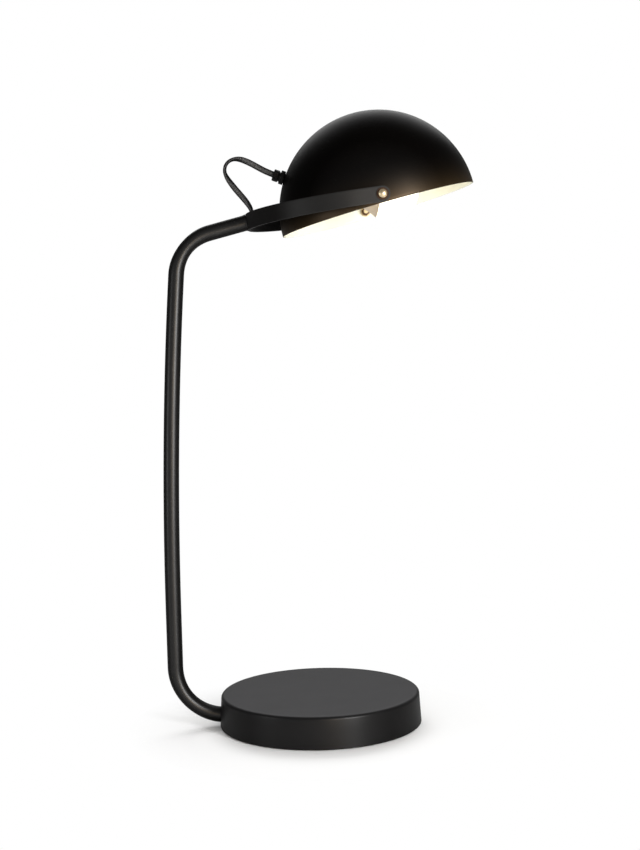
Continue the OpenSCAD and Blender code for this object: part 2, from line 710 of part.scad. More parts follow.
module holder_insert() color("#ece8df") at_bulb() difference() {
    union() {
        translate([0, 0, insert_from]) cylinder(h = insert_t, r = skirt_r - holder_wall - seat);
        translate([0, 0, insert_from + insert_t]) cylinder(h = boss_t, r = skirt_r / 2);
    }
    for (side = [-1, 1]) translate([0, side * skirt_r / 3, insert_from - cut])
        cylinder(h = insert_t + boss_t + 2 * cut, r = 1);
}

// Two brass blocks, each with its clamping screw
module holder_terminals() color("#b99a63") at_bulb() for (side = [-1, 1])
    translate([0, side * skirt_r / 3, insert_from + insert_t + boss_t]) {
        translate([-2.5, -2, 0]) cube([5, 4, terminal_t]);
        translate([-2.5 - 2, 0, terminal_t / 2]) rotate([0, 90, 0]) cylinder(h = 2, r = 0.8);
    }

module holder_screw_shell() color("#b99a63") at_bulb()
    translate([0, 0, cap_bottom + 2]) ring(insert_from - cap_bottom - 2 - seat, cap_d / 2 + 0.9, cap_d / 2 + 0.3);

module holder_contact() color("#b99a63") at_bulb()
    translate([0, 0, bulb_end + seat]) cylinder(h = insert_from - bulb_end - 2 * seat, r = 4);

module holder_skirt() color("#1b1b1b") at_bulb() {
    r = skirt_r;
    difference() {
        translate([0, 0, skirt_from]) cylinder(h = insert_from - skirt_from, r = r);
        translate([0, 0, skirt_from - cut]) cylinder(h = insert_from - skirt_from - 2 + cut, r = r - holder_wall);
        translate([0, 0, skirt_from]) cylinder(h = insert_from, r = cap_d / 2 + 1);
    }
}

// The flex inside the shade: through the grip, then down the nipple to the terminals
module shade_lead() color("#1c1c1e") {
    r = lead_d / 2;
    knee = [bulb_point(0, bracket_at + bracket_t + 2.6), grip_point(0, grip_inner_end + 0.4)];
    link = knee[1] - knee[0];
    at_grip() translate([0, 0, grip_inner_end + 0.4])
        cylinder(h = clamp_from + clamp_t - grip_inner_end - 0.4, r = r);
    at_shade() for (p = knee) translate([p[0], 0, p[1]]) sphere(r = r + hair);
    at_shade() translate([knee[0][0], 0, knee[0][1]]) rotate([0, atan2(link[0], link[1]), 0])
        cylinder(h = norm(link), r = r - hair);
    at_bulb() translate([0, 0, holder_top - holder_wall]) cylinder(h = bracket_t + holder_wall + 2.7, r = r);
}

// ---------------------------------------------------------------- bulb

thread_turns = 5;

// A brass-plated screw cap: rounded rings stand for the thread
module bulb_screw_cap() color("#c9c2ae") at_bulb() {
    pitch = cap_len / (thread_turns + 2);
    difference() {
        union() {
            translate([0, 0, cap_bottom]) cylinder(h = cap_len, r = cap_d / 2 - 0.8);
            for (i = [1 : thread_turns]) translate([0, 0, cap_bottom + (i + 0.5) * pitch])
                rotate_extrude() translate([cap_d / 2 - 1.2, 0]) circle(r = 1.2, $fn = 24);
        }
        translate([0, 0, cap_bottom - cut]) cylinder(h = cap_len + cut - 0.6, r = cap_d / 2 - 2.8);
    }
}

module bulb_insulator() color("#101418") at_bulb()
    translate([0, 0, cap_top]) cylinder(h = insulator_t, r1 = cap_d / 2 - 3, r2 = 5);

module bulb_contact() color("#b9b4a8") at_bulb()
    translate([0, 0, bulb_end - contact_t]) cylinder(h = contact_t, r = 4.6);

module bulb_housing() color("#e6dccb") at_bulb() rotate_extrude() {
    steps = 10;
    levels = [for (i = [0 : steps]) housing_from + (housing_to - housing_from) * i / steps];
    polygon(concat([for (z = levels) [housing_outer(z), z]],
        [[housing_neck_r, cap_bottom - seat], [cap_d / 2 - 3, cap_bottom - seat],
         [cap_d / 2 - 3, cap_bottom - housing_wall], [housing_neck_r - housing_wall, housing_to]],
        [for (i = [steps - 1 : -1 : 0]) [housing_inner(levels[i]), levels[i]]]));
}

module bulb_driver() color("#3c7a4a") at_bulb()
    translate([-8, -0.8, heat_top]) cube([16, 1.6, cap_bottom - heat_top + cap_len / 2]);

// How far the housing's inside stands from the bulb's axis
function housing_inner(z) = housing_outer(z) - housing_wall;

// A disc that is pressed into the housing's cone
module bulb_heat_plate() color("#d7d9da") at_bulb() translate([0, 0, heat_top - heat_t])
    cylinder(h = heat_t, r1 = housing_inner(heat_top - heat_t) - 2 * seat, r2 = housing_inner(heat_top) - 2 * seat);

module bulb_led_board() color("#f2f2ee") at_bulb() {
    board_r = seam_r - 7;
    translate([0, 0, heat_top - heat_t - board_t]) cylinder(h = board_t, r = board_r);
    for (i = [0 : 7]) rotate([0, 0, i * 45]) translate([board_r * 0.65, 0, heat_top - heat_t - board_t])
        translate([-1.4, -1.4, -0.7]) cube([2.8, 2.8, 0.7]);
}

module bulb_globe() color("#fff6df") at_bulb() difference() {
    sphere(r = globe_r);
    sphere(r = globe_r - globe_wall);
    translate([0, 0, globe_seam]) cylinder(h = globe_d, r = globe_d);
}

// ---------------------------------------------------------------- flex loop

// A point of a smooth curve through four neighbours
function through(a, b, c, d, t) = 0.5 * (2 * b + (c - a) * t + (2 * a - 5 * b + 4 * c - d) * t * t
    + (3 * b - a - 3 * c + d) * t * t * t);
last = len(FLEX_ROUTE) - 1;
function route_at(i) = FLEX_ROUTE[min(max(i, 0), last)] + [pivot[0], pivot[1], 0];
FLEX_LINE = [for (i = [0 : last - 1], s = [0 : flex_steps - 1])
                 through(route_at(i - 1), route_at(i), route_at(i + 1), route_at(i + 2), s / flex_steps),
             route_at(last)];
function heading(i) = let(a = FLEX_LINE[max(i - 1, 0)], b = FLEX_LINE[min(i + 1, len(FLEX_LINE) - 1)])
    [b[0] - a[0], b[1] - a[1]] / norm([b[0] - a[0], b[1] - a[1]]);

// One oval ring of the flex: u lies in the mid plane, Y across it
function flex_ring(i) = let(p = FLEX_LINE[i], h = heading(i), u = [-h[1], h[0]], roll = p[2])
    [for (k = [0 : flex_sides - 1])
        let(a = k * 360 / flex_sides, w = flex_w / 2 * cos(a), t = flex_t / 2 * sin(a),
            in_plane = w * cos(roll) - t * sin(roll), across = w * sin(roll) + t * cos(roll))
        [p[0] + u[0] * in_plane, across, p[1] + u[1] * in_plane]];

module flex_loop() color("#1c1c1e") {
    count = len(FLEX_LINE);
    points = [for (i = [0 : count - 1]) each flex_ring(i)];
    sides = [for (i = [0 : count - 2], k = [0 : flex_sides - 1])
        let(n = (k + 1) % flex_sides, a = i * flex_sides + k, b = i * flex_sides + n)
        each [[a, b, b + flex_sides], [a, b + flex_sides, a + flex_sides]]];
    polyhedron(points, concat(sides,
        [[for (k = [flex_sides - 1 : -1 : 0]) k]],
        [[for (k = [0 : flex_sides - 1]) (count - 1) * flex_sides + k]]));
}

base_housing();
housing_posts();
base_weight();
bottom_plate();
base_screws();
foot_pad();
inlet_gland();
gland_nut();
stem_tube();
stem_saddle();
saddle_screws();
tube_end_bush();
flex_anchor();
anchor_screws();
stem_lead();
yoke_strip();
yoke_bush();
pivot_screws();
pivot_washers();
friction_bushes();
inner_washers();
inner_nuts();
shade_dome();
grip_collar();
grip_body();
grip_clamp_screw();
grip_inner_nut();
holder_bracket();
nipple_nut();
holder_nipple();
holder_cap();
holder_insert();
holder_terminals();
holder_screw_shell();
holder_contact();
holder_skirt();
shade_lead();
bulb_screw_cap();
bulb_insulator();
bulb_contact();
bulb_housing();
bulb_driver();
bulb_heat_plate();
bulb_led_board();
bulb_globe();
flex_loop();
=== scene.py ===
"""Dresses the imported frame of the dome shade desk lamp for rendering.

Lengths below are millimetres, as in the part's source, unless a name says otherwise; every mesh is
written in metres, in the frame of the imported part: +Z up, +X from the stem to the shade's front.
"""

from __future__ import annotations

import json
import logging
import math
from contextlib import contextmanager
from dataclasses import dataclass
from enum import Enum
from typing import Callable, Iterator, Sequence

import bpy
from mathutils import Matrix, Vector

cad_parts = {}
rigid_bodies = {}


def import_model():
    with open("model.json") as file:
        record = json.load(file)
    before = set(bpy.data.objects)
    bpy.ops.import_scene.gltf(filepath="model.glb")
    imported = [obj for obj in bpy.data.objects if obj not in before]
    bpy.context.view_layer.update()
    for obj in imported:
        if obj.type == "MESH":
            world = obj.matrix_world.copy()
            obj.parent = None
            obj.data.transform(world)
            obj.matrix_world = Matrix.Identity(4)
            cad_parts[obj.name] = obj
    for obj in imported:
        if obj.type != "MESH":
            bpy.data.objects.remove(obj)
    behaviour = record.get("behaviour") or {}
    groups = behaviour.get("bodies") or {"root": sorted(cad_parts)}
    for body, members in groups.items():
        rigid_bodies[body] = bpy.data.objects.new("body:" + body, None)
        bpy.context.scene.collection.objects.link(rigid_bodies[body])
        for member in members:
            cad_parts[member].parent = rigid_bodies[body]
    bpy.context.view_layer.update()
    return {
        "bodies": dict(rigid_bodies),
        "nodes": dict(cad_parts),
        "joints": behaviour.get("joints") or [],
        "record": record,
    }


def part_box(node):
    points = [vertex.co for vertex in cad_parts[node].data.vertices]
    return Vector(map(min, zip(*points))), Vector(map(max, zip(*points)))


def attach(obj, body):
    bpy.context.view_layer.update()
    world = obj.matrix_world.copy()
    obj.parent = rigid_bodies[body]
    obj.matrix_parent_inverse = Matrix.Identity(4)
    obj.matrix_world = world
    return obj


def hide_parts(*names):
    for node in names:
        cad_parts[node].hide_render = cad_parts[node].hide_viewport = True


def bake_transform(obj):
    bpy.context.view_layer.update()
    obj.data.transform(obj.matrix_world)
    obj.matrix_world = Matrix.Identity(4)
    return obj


LOG = logging.getLogger("desk_lamp")
MM = 0.001
FULL_TURN = 2 * math.pi
Point2 = tuple[float, float]
Colour = tuple[float, float, float, float]
Point3 = tuple[float, float, float]
Piece = bpy.types.Object
WHITE: Colour = (1, 1, 1, 1)


class Body(Enum):
    """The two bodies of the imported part."""

    STAND = "stand"
    SHADE = "shade"


# ---------------------------------------------------------------- the lamp's own frames


def turn_y(degrees: float) -> Matrix:
    """A turn about Y."""
    return Matrix.Rotation(math.radians(degrees), 4, "Y")


def shift(x: float = 0, z: float = 0) -> Matrix:
    """A move along X and Z."""
    return Matrix.Translation((x, 0, z))


def heading(degrees: float) -> Vector:
    """The direction that rises by an angle from +X towards +Z."""
    a = math.radians(degrees)
    return Vector((math.cos(a), 0, math.sin(a)))


@dataclass(frozen=True)
class Layout:
    """The sizes that place the sub-assemblies, as in the part's source."""

    stem_z: float = 11.5
    tube_end: float = 62.0
    reach: float = 148.5
    low_bend: float = 51.5
    straight: float = 58.0
    bow: float = 4250.0
    bow_turn: float = 4.64
    top_bend: float = 46.3
    arm_rise: float = 14.1
    arm: float = 39.0
    yoke_reach: float = 129.7
    yoke_rise: float = 7.2
    pivot_up: float = 7.8
    pivot_back: float = 2.8
    tilt: float = 14.4
    grip_angle: float = 34.3
    bulb_dip: float = 22.2
    globe_at: Point2 = (16.4, 16.0)

    def bow_end(self) -> Vector:
        """The upper end of the stem's bow.

        Returns:
            The point.
        """
        a = math.radians(self.bow_turn)
        x = -self.reach + self.bow * (1 - math.cos(a))
        return Vector((x, 0, self.stem_z + self.low_bend + self.straight + self.bow * math.sin(a)))

    def top_centre(self) -> Vector:
        """The centre of the upper bend."""
        return self.bow_end() + self.top_bend * heading(-self.bow_turn)

    def arm_end(self) -> Vector:
        """Where the arm meets the yoke.

        Returns:
            The point.
        """
        along = heading(self.arm_rise)
        rise = Vector((-along.z, 0, along.x))
        return self.top_centre() + self.top_bend * rise + self.arm * along

    def pivot(self) -> Vector:
        """The point between both pivots."""
        return self.arm_end() + self.yoke_reach * heading(self.yoke_rise)

    def yoke(self) -> Matrix:
        """The yoke's frame: its origin between the pivots, +X forward along the strip."""
        return Matrix.Translation(self.pivot()) @ turn_y(-self.yoke_rise)

    def shade(self) -> Matrix:
        """The shade's frame: its origin at the sphere's centre, +Z to the pole."""
        tilted = Matrix.Translation(self.pivot()) @ turn_y(-self.tilt)
        return tilted @ shift(self.pivot_back, -self.pivot_up)

    def grip(self) -> Matrix:
        """The flex grip's frame, with +Z outwards."""
        return self.shade() @ turn_y(self.grip_angle - 90)

    def bulb(self) -> Matrix:
        """The bulb's frame, with +Z from the globe to the cap."""
        return self.shade() @ shift(*self.globe_at) @ turn_y(self.bulb_dip - 90)

    def pivot_side(self, side: int) -> Matrix:
        """One pivot's frame, with +Z outwards.

        Args:
            side: -1 for the side at -Y, 1 for the other.

        Returns:
            The frame.
        """
        turn = Matrix.Rotation(math.radians(-90 * side), 4, "X")
        return self.shade() @ shift(-self.pivot_back, self.pivot_up) @ turn


PLAN = Layout()


# ---------------------------------------------------------------- shader building


class Socket:
    """A shader socket that adds Math nodes when it is used in an expression."""

    def __init__(self, graph: Graph, socket: bpy.types.NodeSocket) -> None:
        """Keeps the graph and the socket.

        Args:
            graph: The graph that new nodes are added to.
            socket: The output that this value comes from.
        """
        self.graph = graph
        self.socket = socket

    def _math(self, operation: str, *values: Socket | float) -> Socket:
        """Adds one Math node.

        Args:
            operation: The node's operation.
            values: Its inputs, in order.

        Returns:
            The node's output.
        """
        inputs = dict(enumerate(values))
        return self.graph.node("ShaderNodeMath", {"operation": operation}, inputs)

    def __add__(self, other: Socket | float) -> Socket:
        """self + other."""
        return self._math("ADD", self, other)

    __radd__ = __add__

    def __sub__(self, other: Socket | float) -> Socket:
        """self - other."""
        return self._math("SUBTRACT", self, other)

    def __rsub__(self, other: float) -> Socket:
        """other - self."""
        return self._math("SUBTRACT", other, self)

    def __mul__(self, other: Socket | float) -> Socket:
        """self * other."""
        return self._math("MULTIPLY", self, other)

    __rmul__ = __mul__

    def __truediv__(self, other: Socket | float) -> Socket:
        """self / other."""
        return self._math("DIVIDE", self, other)

    def __pow__(self, other: Socket | float) -> Socket:
        """self ** other."""
        return self._math("POWER", self, other)

    def __lt__(self, other: Socket | float) -> Socket:
        """1 where self is less than other, else 0."""
        return self._math("LESS_THAN", self, other)

    def sine(self) -> Socket:
        """The sine of self, in radians."""
        return self._math("SINE", self)

    def highest(self, other: Socket | float) -> Socket:
        """The greater of self and other."""
        return self._math("MAXIMUM", self, other)

    def clamped(self) -> Socket:
        """self, kept between 0 and 1."""
        return self._math("MINIMUM", self, 1.0).highest(0.0)


class Graph:
    """The node tree of one material, or of the world, built from code."""

    def __init__(self, name: str, world: bpy.types.World | None = None) -> None:
        """Starts an empty tree.

        Args:
            name: The new material's name.
            world: The world, where the tree is its own.
        """
        self.world = world
        self.material = world or bpy.data.materials.new(name)
        self.material.use_nodes = True
        self.tree = self.material.node_tree
        self.tree.nodes.clear()

    def node(
        self,
        kind: str,
        settings: dict[str, object] | None = None,
        inputs: dict[str | int, object] | None = None,
        output: str | int = 0,
    ) -> Socket:
        """Adds one node.

        Args:
            kind: The node's type.
            settings: Its settings, such as an operation.
            inputs: Values or sockets for its inputs.
            output: Which output is returned.

        Returns:
            The chosen output.
        """
        made = self.tree.nodes.new(kind)
        for key, value in (settings or {}).items():
            setattr(made, key, value)
        for key, value in (inputs or {}).items():
            if isinstance(value, Socket):
                self.tree.links.new(value.socket, made.inputs[key])
            else:
                made.inputs[key].default_value = value
        return Socket(self, made.outputs[output])

    def coordinates(self, kind: str = "Object") -> Socket:
        """Texture coordinates of one kind."""
        return self.node("ShaderNodeTexCoord", output=kind)

    def vector(self, operation: str, *values: object) -> Socket:
        """Adds one Vector Math node.

        Args:
            operation: The node's operation.
            values: Its inputs, in order.

        Returns:
            A number from DOT_PRODUCT and LENGTH, and a vector from the others.
        """
        output = "Value" if operation in ("DOT_PRODUCT", "LENGTH") else "Vector"
        inputs = dict(enumerate(values))
        return self.node("ShaderNodeVectorMath", {"operation": operation}, inputs, output)

    def place(self, scale: Sequence[float] = (1, 1, 1), turn: Sequence[float] = (0, 0, 0)) -> Socket:
        """Object coordinates, scaled and turned.

        Args:
            scale: Scale along each axis.
            turn: Turn about each axis, in radians.

        Returns:
            The coordinates.
        """
        inputs = {"Vector": self.coordinates(), "Scale": scale, "Rotation": turn}
        return self.node("ShaderNodeMapping", {}, inputs)

    def noise(self, size_mm: float, detail: float = 2.0) -> Socket:
        """Noise whose lumps are about size_mm across.

        Args:
            size_mm: The lumps' size.
            detail: Octaves of finer noise.

        Returns:
            Values from 0 to 1.
        """
        inputs = {"Vector": self.place(), "Scale": 1 / (size_mm * MM), "Detail": detail}
        return self.node("ShaderNodeTexNoise", {}, {**inputs, "Roughness": 0.55}, "Fac")

    def streaks(self, where: Socket, detail: float = 3.0, distortion: float = 0.0) -> Socket:
        """Noise on stretched coordinates, such as rolling marks or fibres.

        Args:
            where: The stretched coordinates.
            detail: Octaves of finer noise.
            distortion: How much the streaks wander.

        Returns:
            Values from 0 to 1.
        """
        inputs = {"Vector": where, "Scale": 1.0, "Detail": detail, "Distortion": distortion}
        return self.node("ShaderNodeTexNoise", {}, inputs, "Fac")

    def specks(self, spacing_mm: float, share: float) -> Socket:
        """Small round specks, such as dust or pores.

        Args:
            spacing_mm: Distance between cells that may hold a speck.
            share: Radius of a speck, as a share of the spacing.

        Returns:
            1 in a speck, else 0.
        """
        inputs = {"Vector": self.place(), "Scale": 1 / (spacing_mm * MM)}
        return self.node("ShaderNodeTexVoronoi", {}, inputs, "Distance") < share

    def blend_colour(self, share: Socket | float, first: Colour, second: Colour) -> Socket:
        """Mixes two colours.

        Args:
            share: 0 for the first colour, 1 for the second.
            first: The first colour.
            second: The second colour.

        Returns:
            The mixed colour.
        """
        return self.node("ShaderNodeMix", {"data_type": "RGBA"}, {0: share, 6: first, 7: second}, 2)

    def bump(self, height: Socket, depth_mm: float) -> Socket:
        """A normal that follows a height.

        Args:
            height: Height from 0 to 1.
            depth_mm: What a height of 1 stands for.

        Returns:
            The normal.
        """
        inputs = {"Strength": 1.0, "Distance": depth_mm * MM, "Height": height}
        return self.node("ShaderNodeBump", {}, inputs)

    def glancing(self, fade: float) -> Socket:
        """0 where the surface is faced, and 1 where it is seen at a glancing angle.

        Args:
            fade: How soon it reaches 1.

        Returns:
            The share.
        """
        facing = self.node("ShaderNodeLayerWeight", {}, {"Blend": 0.5}, "Facing")
        return (facing * fade).clamped() ** 0.6

    def gloss(self, inputs: dict[str, object]) -> Socket:
        """A Principled shader."""
        return self.node("ShaderNodeBsdfPrincipled", {}, inputs)

    def mix(self, share: Socket, first: Socket, second: Socket) -> Socket:
        """Mixes two shaders.

        Args:
            share: 0 for the first shader, 1 for the second.
            first: The first shader.
            second: The second shader.

        Returns:
            The mixed shader.
        """
        return self.node("ShaderNodeMixShader", {}, {0: share, 1: first, 2: second})

    def fading(self, inputs: dict[str, object], edge_ior: float, fade: float) -> bpy.types.Material:
        """Ends the tree in a gloss that gives way to a duller one towards glancing views.

        Args:
            inputs: The shader's inputs where it is faced.
            edge_ior: Its index of refraction at a glancing view.
            fade: How soon it gives way.

        Returns:
            The material.
        """
        dull = {**inputs, "Roughness": (inputs["Roughness"] + 0.2).clamped(), "IOR": edge_ior}
        return self.surface(self.mix(self.glancing(fade), self.gloss(inputs), self.gloss(dull)))

    def finish(self, inputs: dict[str, object]) -> bpy.types.Material:
        """Ends the tree in one Principled shader."""
        return self.surface(self.gloss(inputs))

    def surface(self, shader: Socket) -> bpy.types.Material:
        """Makes a shader the tree's surface.

        Args:
            shader: The shader.

        Returns:
            The material, or the world.
        """
        out = self.tree.nodes.new("ShaderNodeOutputWorld" if self.world else "ShaderNodeOutputMaterial")
        self.tree.links.new(shader.socket, out.inputs["Surface"])
        return self.material


@dataclass(frozen=True)
class Paint:
    """What both enamels share: a fine orange peel, a little unevenness and stray dust."""

    name: str
    colour: Colour
    worn: Colour

    def coat(
        self, g: Graph, roughness: float, peel_mm: float, depth: float
    ) -> tuple[Socket, dict[str, object]]:
        """Adds the coat to a tree.

        Args:
            g: The tree.
            roughness: The coat's mean roughness.
            peel_mm: The orange peel's size.
            depth: The orange peel's depth.

        Returns:
            The broad unevenness, and the inputs of a Principled shader.
        """
        broad, fine, peel = g.noise(38, 3), g.noise(0.35), g.noise(peel_mm)
        shares = (broad * 0.5 + g.specks(9.0, 0.018) * 0.6 + fine * 0.12).clamped()
        return broad, {
            "Base Color": g.blend_colour(shares, self.colour, self.worn),
            "Roughness": broad * 0.07 + fine * 0.05 + (roughness - 0.06),
            "Normal": g.bump(peel * 0.8 + fine * 0.2, depth),
        }


@dataclass(frozen=True)
class Enamel(Paint):
    """Sprayed and baked enamel; where a top colour is given, what faces up is made lighter: a little
    dust and a painted reflection of the bright surround.
    """

    roughness: float = 0.42
    peel_mm: float = 0.9
    peel_depth: float = 0.006
    ior: float = 1.5
    edge_ior: float = 0.0
    edge_fade: float = 3.3
    dust_and_top_light: Colour = (0, 0, 0, 0)

    def material(self) -> bpy.types.Material:
        """The finish as a material: its gloss fades towards glancing views where edge_ior is given.

        Returns:
            The material.
        """
        g = Graph(self.name)
        broad, inputs = self.coat(g, self.roughness, self.peel_mm, self.peel_depth)
        # what faces up is made lighter: a little dust and a painted reflection of the bright surround
        if self.dust_and_top_light[3]:
            upward = g.vector("DOT_PRODUCT", g.coordinates("Normal"), (0, 0, 1))
            lighter_top_share = (upward.clamped() ** 6 * (broad * 0.3 + 0.85)).clamped()
            inputs["Base Color"] = g.blend_colour(lighter_top_share, inputs["Base Color"], self.dust_and_top_light)
        inputs["IOR"] = self.ior
        if not self.edge_ior:
            return g.finish(inputs)
        return g.fading(inputs, self.edge_ior, self.edge_fade)


@dataclass(frozen=True)
class DomeEnamel(Paint):
    """The shade's matt enamel, with a painted warm glow along the rim: browner, glossier and warm-tinted
    in a band.
    """

    rim_glow: Colour
    roughness: float = 0.44
    peel_mm: float = 0.7
    peel_depth: float = 0.004
    ior: float = 1.25
    edge_ior: float = 1.05
    edge_fade: float = 3.3
    rim_ior: float = 1.5
    rim_edge: float = 0.2
    glow_band_mm: float = 42.0
    glow_band_waver: float = 4.0
    rim_glow_tint: Colour = (1.0, 0.72, 0.46, 1)

    def material(self) -> bpy.types.Material:
        """The finish as a material.

        Returns:
            The material.
        """
        g = Graph(self.name)
        broad, inputs = self.coat(g, self.roughness, self.peel_mm, self.peel_depth)
        up = PLAN.shade().to_3x3() @ Vector((0, 0, 1))
        # painted warm glow: in a band above the rim the colour turns browner, and the reflection
        # glossier and warm-tinted
        height = g.vector("DOT_PRODUCT", g.coordinates(), up) / MM - up.dot(PLAN.shade().translation)
        waver = broad * self.glow_band_waver - self.glow_band_waver / 2
        glow_band = (1.0 - (height + waver) / self.glow_band_mm).clamped()
        inputs["Base Color"] = g.blend_colour(glow_band ** 4, inputs["Base Color"], self.rim_glow)
        faced, edge, rim = (
            g.gloss({**inputs, "IOR": ior, "Specular Tint": tint})
            for ior, tint in ((self.ior, WHITE), (self.edge_ior, WHITE), (self.rim_ior, self.rim_glow_tint))
        )
        share = g.glancing(self.edge_fade)
        rim_glow = glow_band ** 2 * (1.0 - share * (1 - self.rim_edge))
        return g.surface(g.mix(rim_glow, g.mix(share, faced, edge), rim))


@dataclass(frozen=True)
class Metal:
    """Bare metal with turning or rolling marks, darkened in patches."""

    name: str
    colour: Colour
    tarnish_and_shade: Colour
    roughness: float = 0.3
    pits: float = 0.0
    metallic: float = 1.0

    def material(self) -> bpy.types.Material:
        """The finish as a material.

        Returns:
            The material.
        """
        g = Graph(self.name)
        marks = g.streaks(g.place((60, 1400, 1400)))
        patches = g.noise(3.5, 4)
        colour = g.blend_colour((patches * 1.6 - 0.45).clamped(), self.colour, self.tarnish_and_shade)
        relief = marks * 0.6 + patches * 0.4
        if self.pits:
            relief = relief - g.noise(self.pits, 4) * 2.0
        return g.finish(
            {
                "Base Color": colour,
                "Metallic": self.metallic,
                "Roughness": marks * 0.14 + patches * 0.16 + (self.roughness - 0.12),
                "Normal": g.bump(relief, 0.15 if self.pits else 0.02),
            }
        )


@dataclass(frozen=True)
class BrassWithPaintedHighlight:
    """Brass with a painted highlight: bright at the crown, and painted dark round its foot for the dark
    reflections there.
    """

    name: str
    bright: Colour
    dark: Colour
    crown_mm: float = 1.5
    foot_mm: float = 2.7

    def material(self) -> bpy.types.Material:
        """The finish as a material.

        Returns:
            The material.
        """
        g = Graph(self.name)
        cloud = g.noise(1.6, 4)
        grain = g.noise(0.25, 2)
        # painted highlight: bright within crown_mm of the pivot's axis, and painted shade beyond foot_mm
        offset = g.vector("SUBTRACT", g.coordinates(), PLAN.pivot() * MM)
        radius = g.vector("LENGTH", g.vector("MULTIPLY", offset, (1, 0, 1))) / MM
        beyond = radius + cloud * 0.8 - 0.4 - self.crown_mm
        tarnish_and_shade = (beyond / (self.foot_mm - self.crown_mm)).clamped()
        return g.finish(
            {
                "Base Color": g.blend_colour(tarnish_and_shade, self.bright, self.dark),
                "Metallic": 1.0,
                "Roughness": tarnish_and_shade * 0.15 + grain * 0.08 + 0.27,
                "Normal": g.bump(grain, 0.006),
            }
        )


@dataclass(frozen=True)
class Moulded:
    """Moulded plastic or ceramic with a fine grain and faint flow lines."""

    name: str
    colour: Colour
    shade: Colour
    roughness: float = 0.45
    grain_mm: float = 0.25
    depth: float = 0.008
    ior: float = 1.46

    def material(self) -> bpy.types.Material:
        """The finish as a material.

        Returns:
            The material.
        """
        g = Graph(self.name)
        grain = g.noise(self.grain_mm, 3)
        flow = g.streaks(g.place((90, 90, 320)))
        return g.finish(
            {
                "Base Color": g.blend_colour((flow * 1.4 - 0.3).clamped(), self.colour, self.shade),
                "Roughness": grain * 0.12 + (self.roughness - 0.06),
                "IOR": self.ior,
                "Normal": g.bump(grain, self.depth),
            }
        )


@dataclass(frozen=True)
class Felt:
    """Pressed felt: fibres, lint and a soft sheen."""

    name: str
    colour: Colour
    lint: Colour

    def material(self) -> bpy.types.Material:
        """The finish as a material.

        Returns:
            The material.
        """
        g = Graph(self.name)
        fibre = g.streaks(g.place((1600, 420, 1600), (0, 0, 0.6)), 5.0, 1.5)
        tuft = g.noise(1.6, 4)
        return g.finish(
            {
                "Base Color": g.blend_colour((fibre * 1.5 - 0.5).clamped(), self.colour, self.lint),
                "Roughness": 0.95,
                "Sheen Weight": 0.3,
                "Normal": g.bump(fibre * 0.6 + tuft * 0.4, 0.25),
            }
        )


@dataclass(frozen=True)
class Braid:
    """Textile braid that follows the flex's own UV map: V round it and U along it."""

    name: str
    colour: Colour
    gap: Colour
    strands_round: int = 8
    edge_ior: float = 1.05
    edge_fade: float = 3.6

    def material(self) -> bpy.types.Material:
        """The finish as a material.

        Returns:
            The material.
        """
        g = Graph(self.name)
        along = g.node("ShaderNodeSeparateXYZ", {}, {0: g.coordinates("UV")})
        strands = Socket(g, along.socket.node.outputs[1]) * self.strands_round
        left = ((along + strands) * FULL_TURN).sine()
        right = ((along - strands) * FULL_TURN).sine()
        over = left.highest(right * 0.92) * 0.5 + 0.5
        yarn = g.noise(0.12, 3)
        fuzz = g.noise(0.6, 3)
        colour = g.blend_colour((over * 0.85 + yarn * 0.3 - 0.1).clamped(), self.gap, self.colour)
        relief = g.bump(over * 0.8 + yarn * 0.15 + fuzz * 0.05, 0.28)
        inputs = {"Base Color": colour, "Roughness": yarn * 0.15 + 0.33, "IOR": 1.6, "Normal": relief}
        return g.fading(inputs, self.edge_ior, self.edge_fade)


@dataclass(frozen=True)
class LitGlobe:
    """An opal globe that is switched on."""

    name: str
    colour: Colour
    glow: Colour
    strength: float

    def material(self) -> bpy.types.Material:
        """The finish as a material.

        Returns:
            The material.
        """
        g = Graph(self.name)
        frost = g.noise(0.5, 3)
        cloud = g.noise(14, 3)
        dimmed = (*(0.93 * c for c in self.glow[:3]), 1.0)
        return g.finish(
            {
                "Base Color": self.colour,
                "Roughness": frost * 0.1 + 0.3,
                "Emission Color": g.blend_colour(cloud, self.glow, dimmed),
                "Emission Strength": self.strength,
                "Normal": g.bump(frost, 0.01),
            }
        )


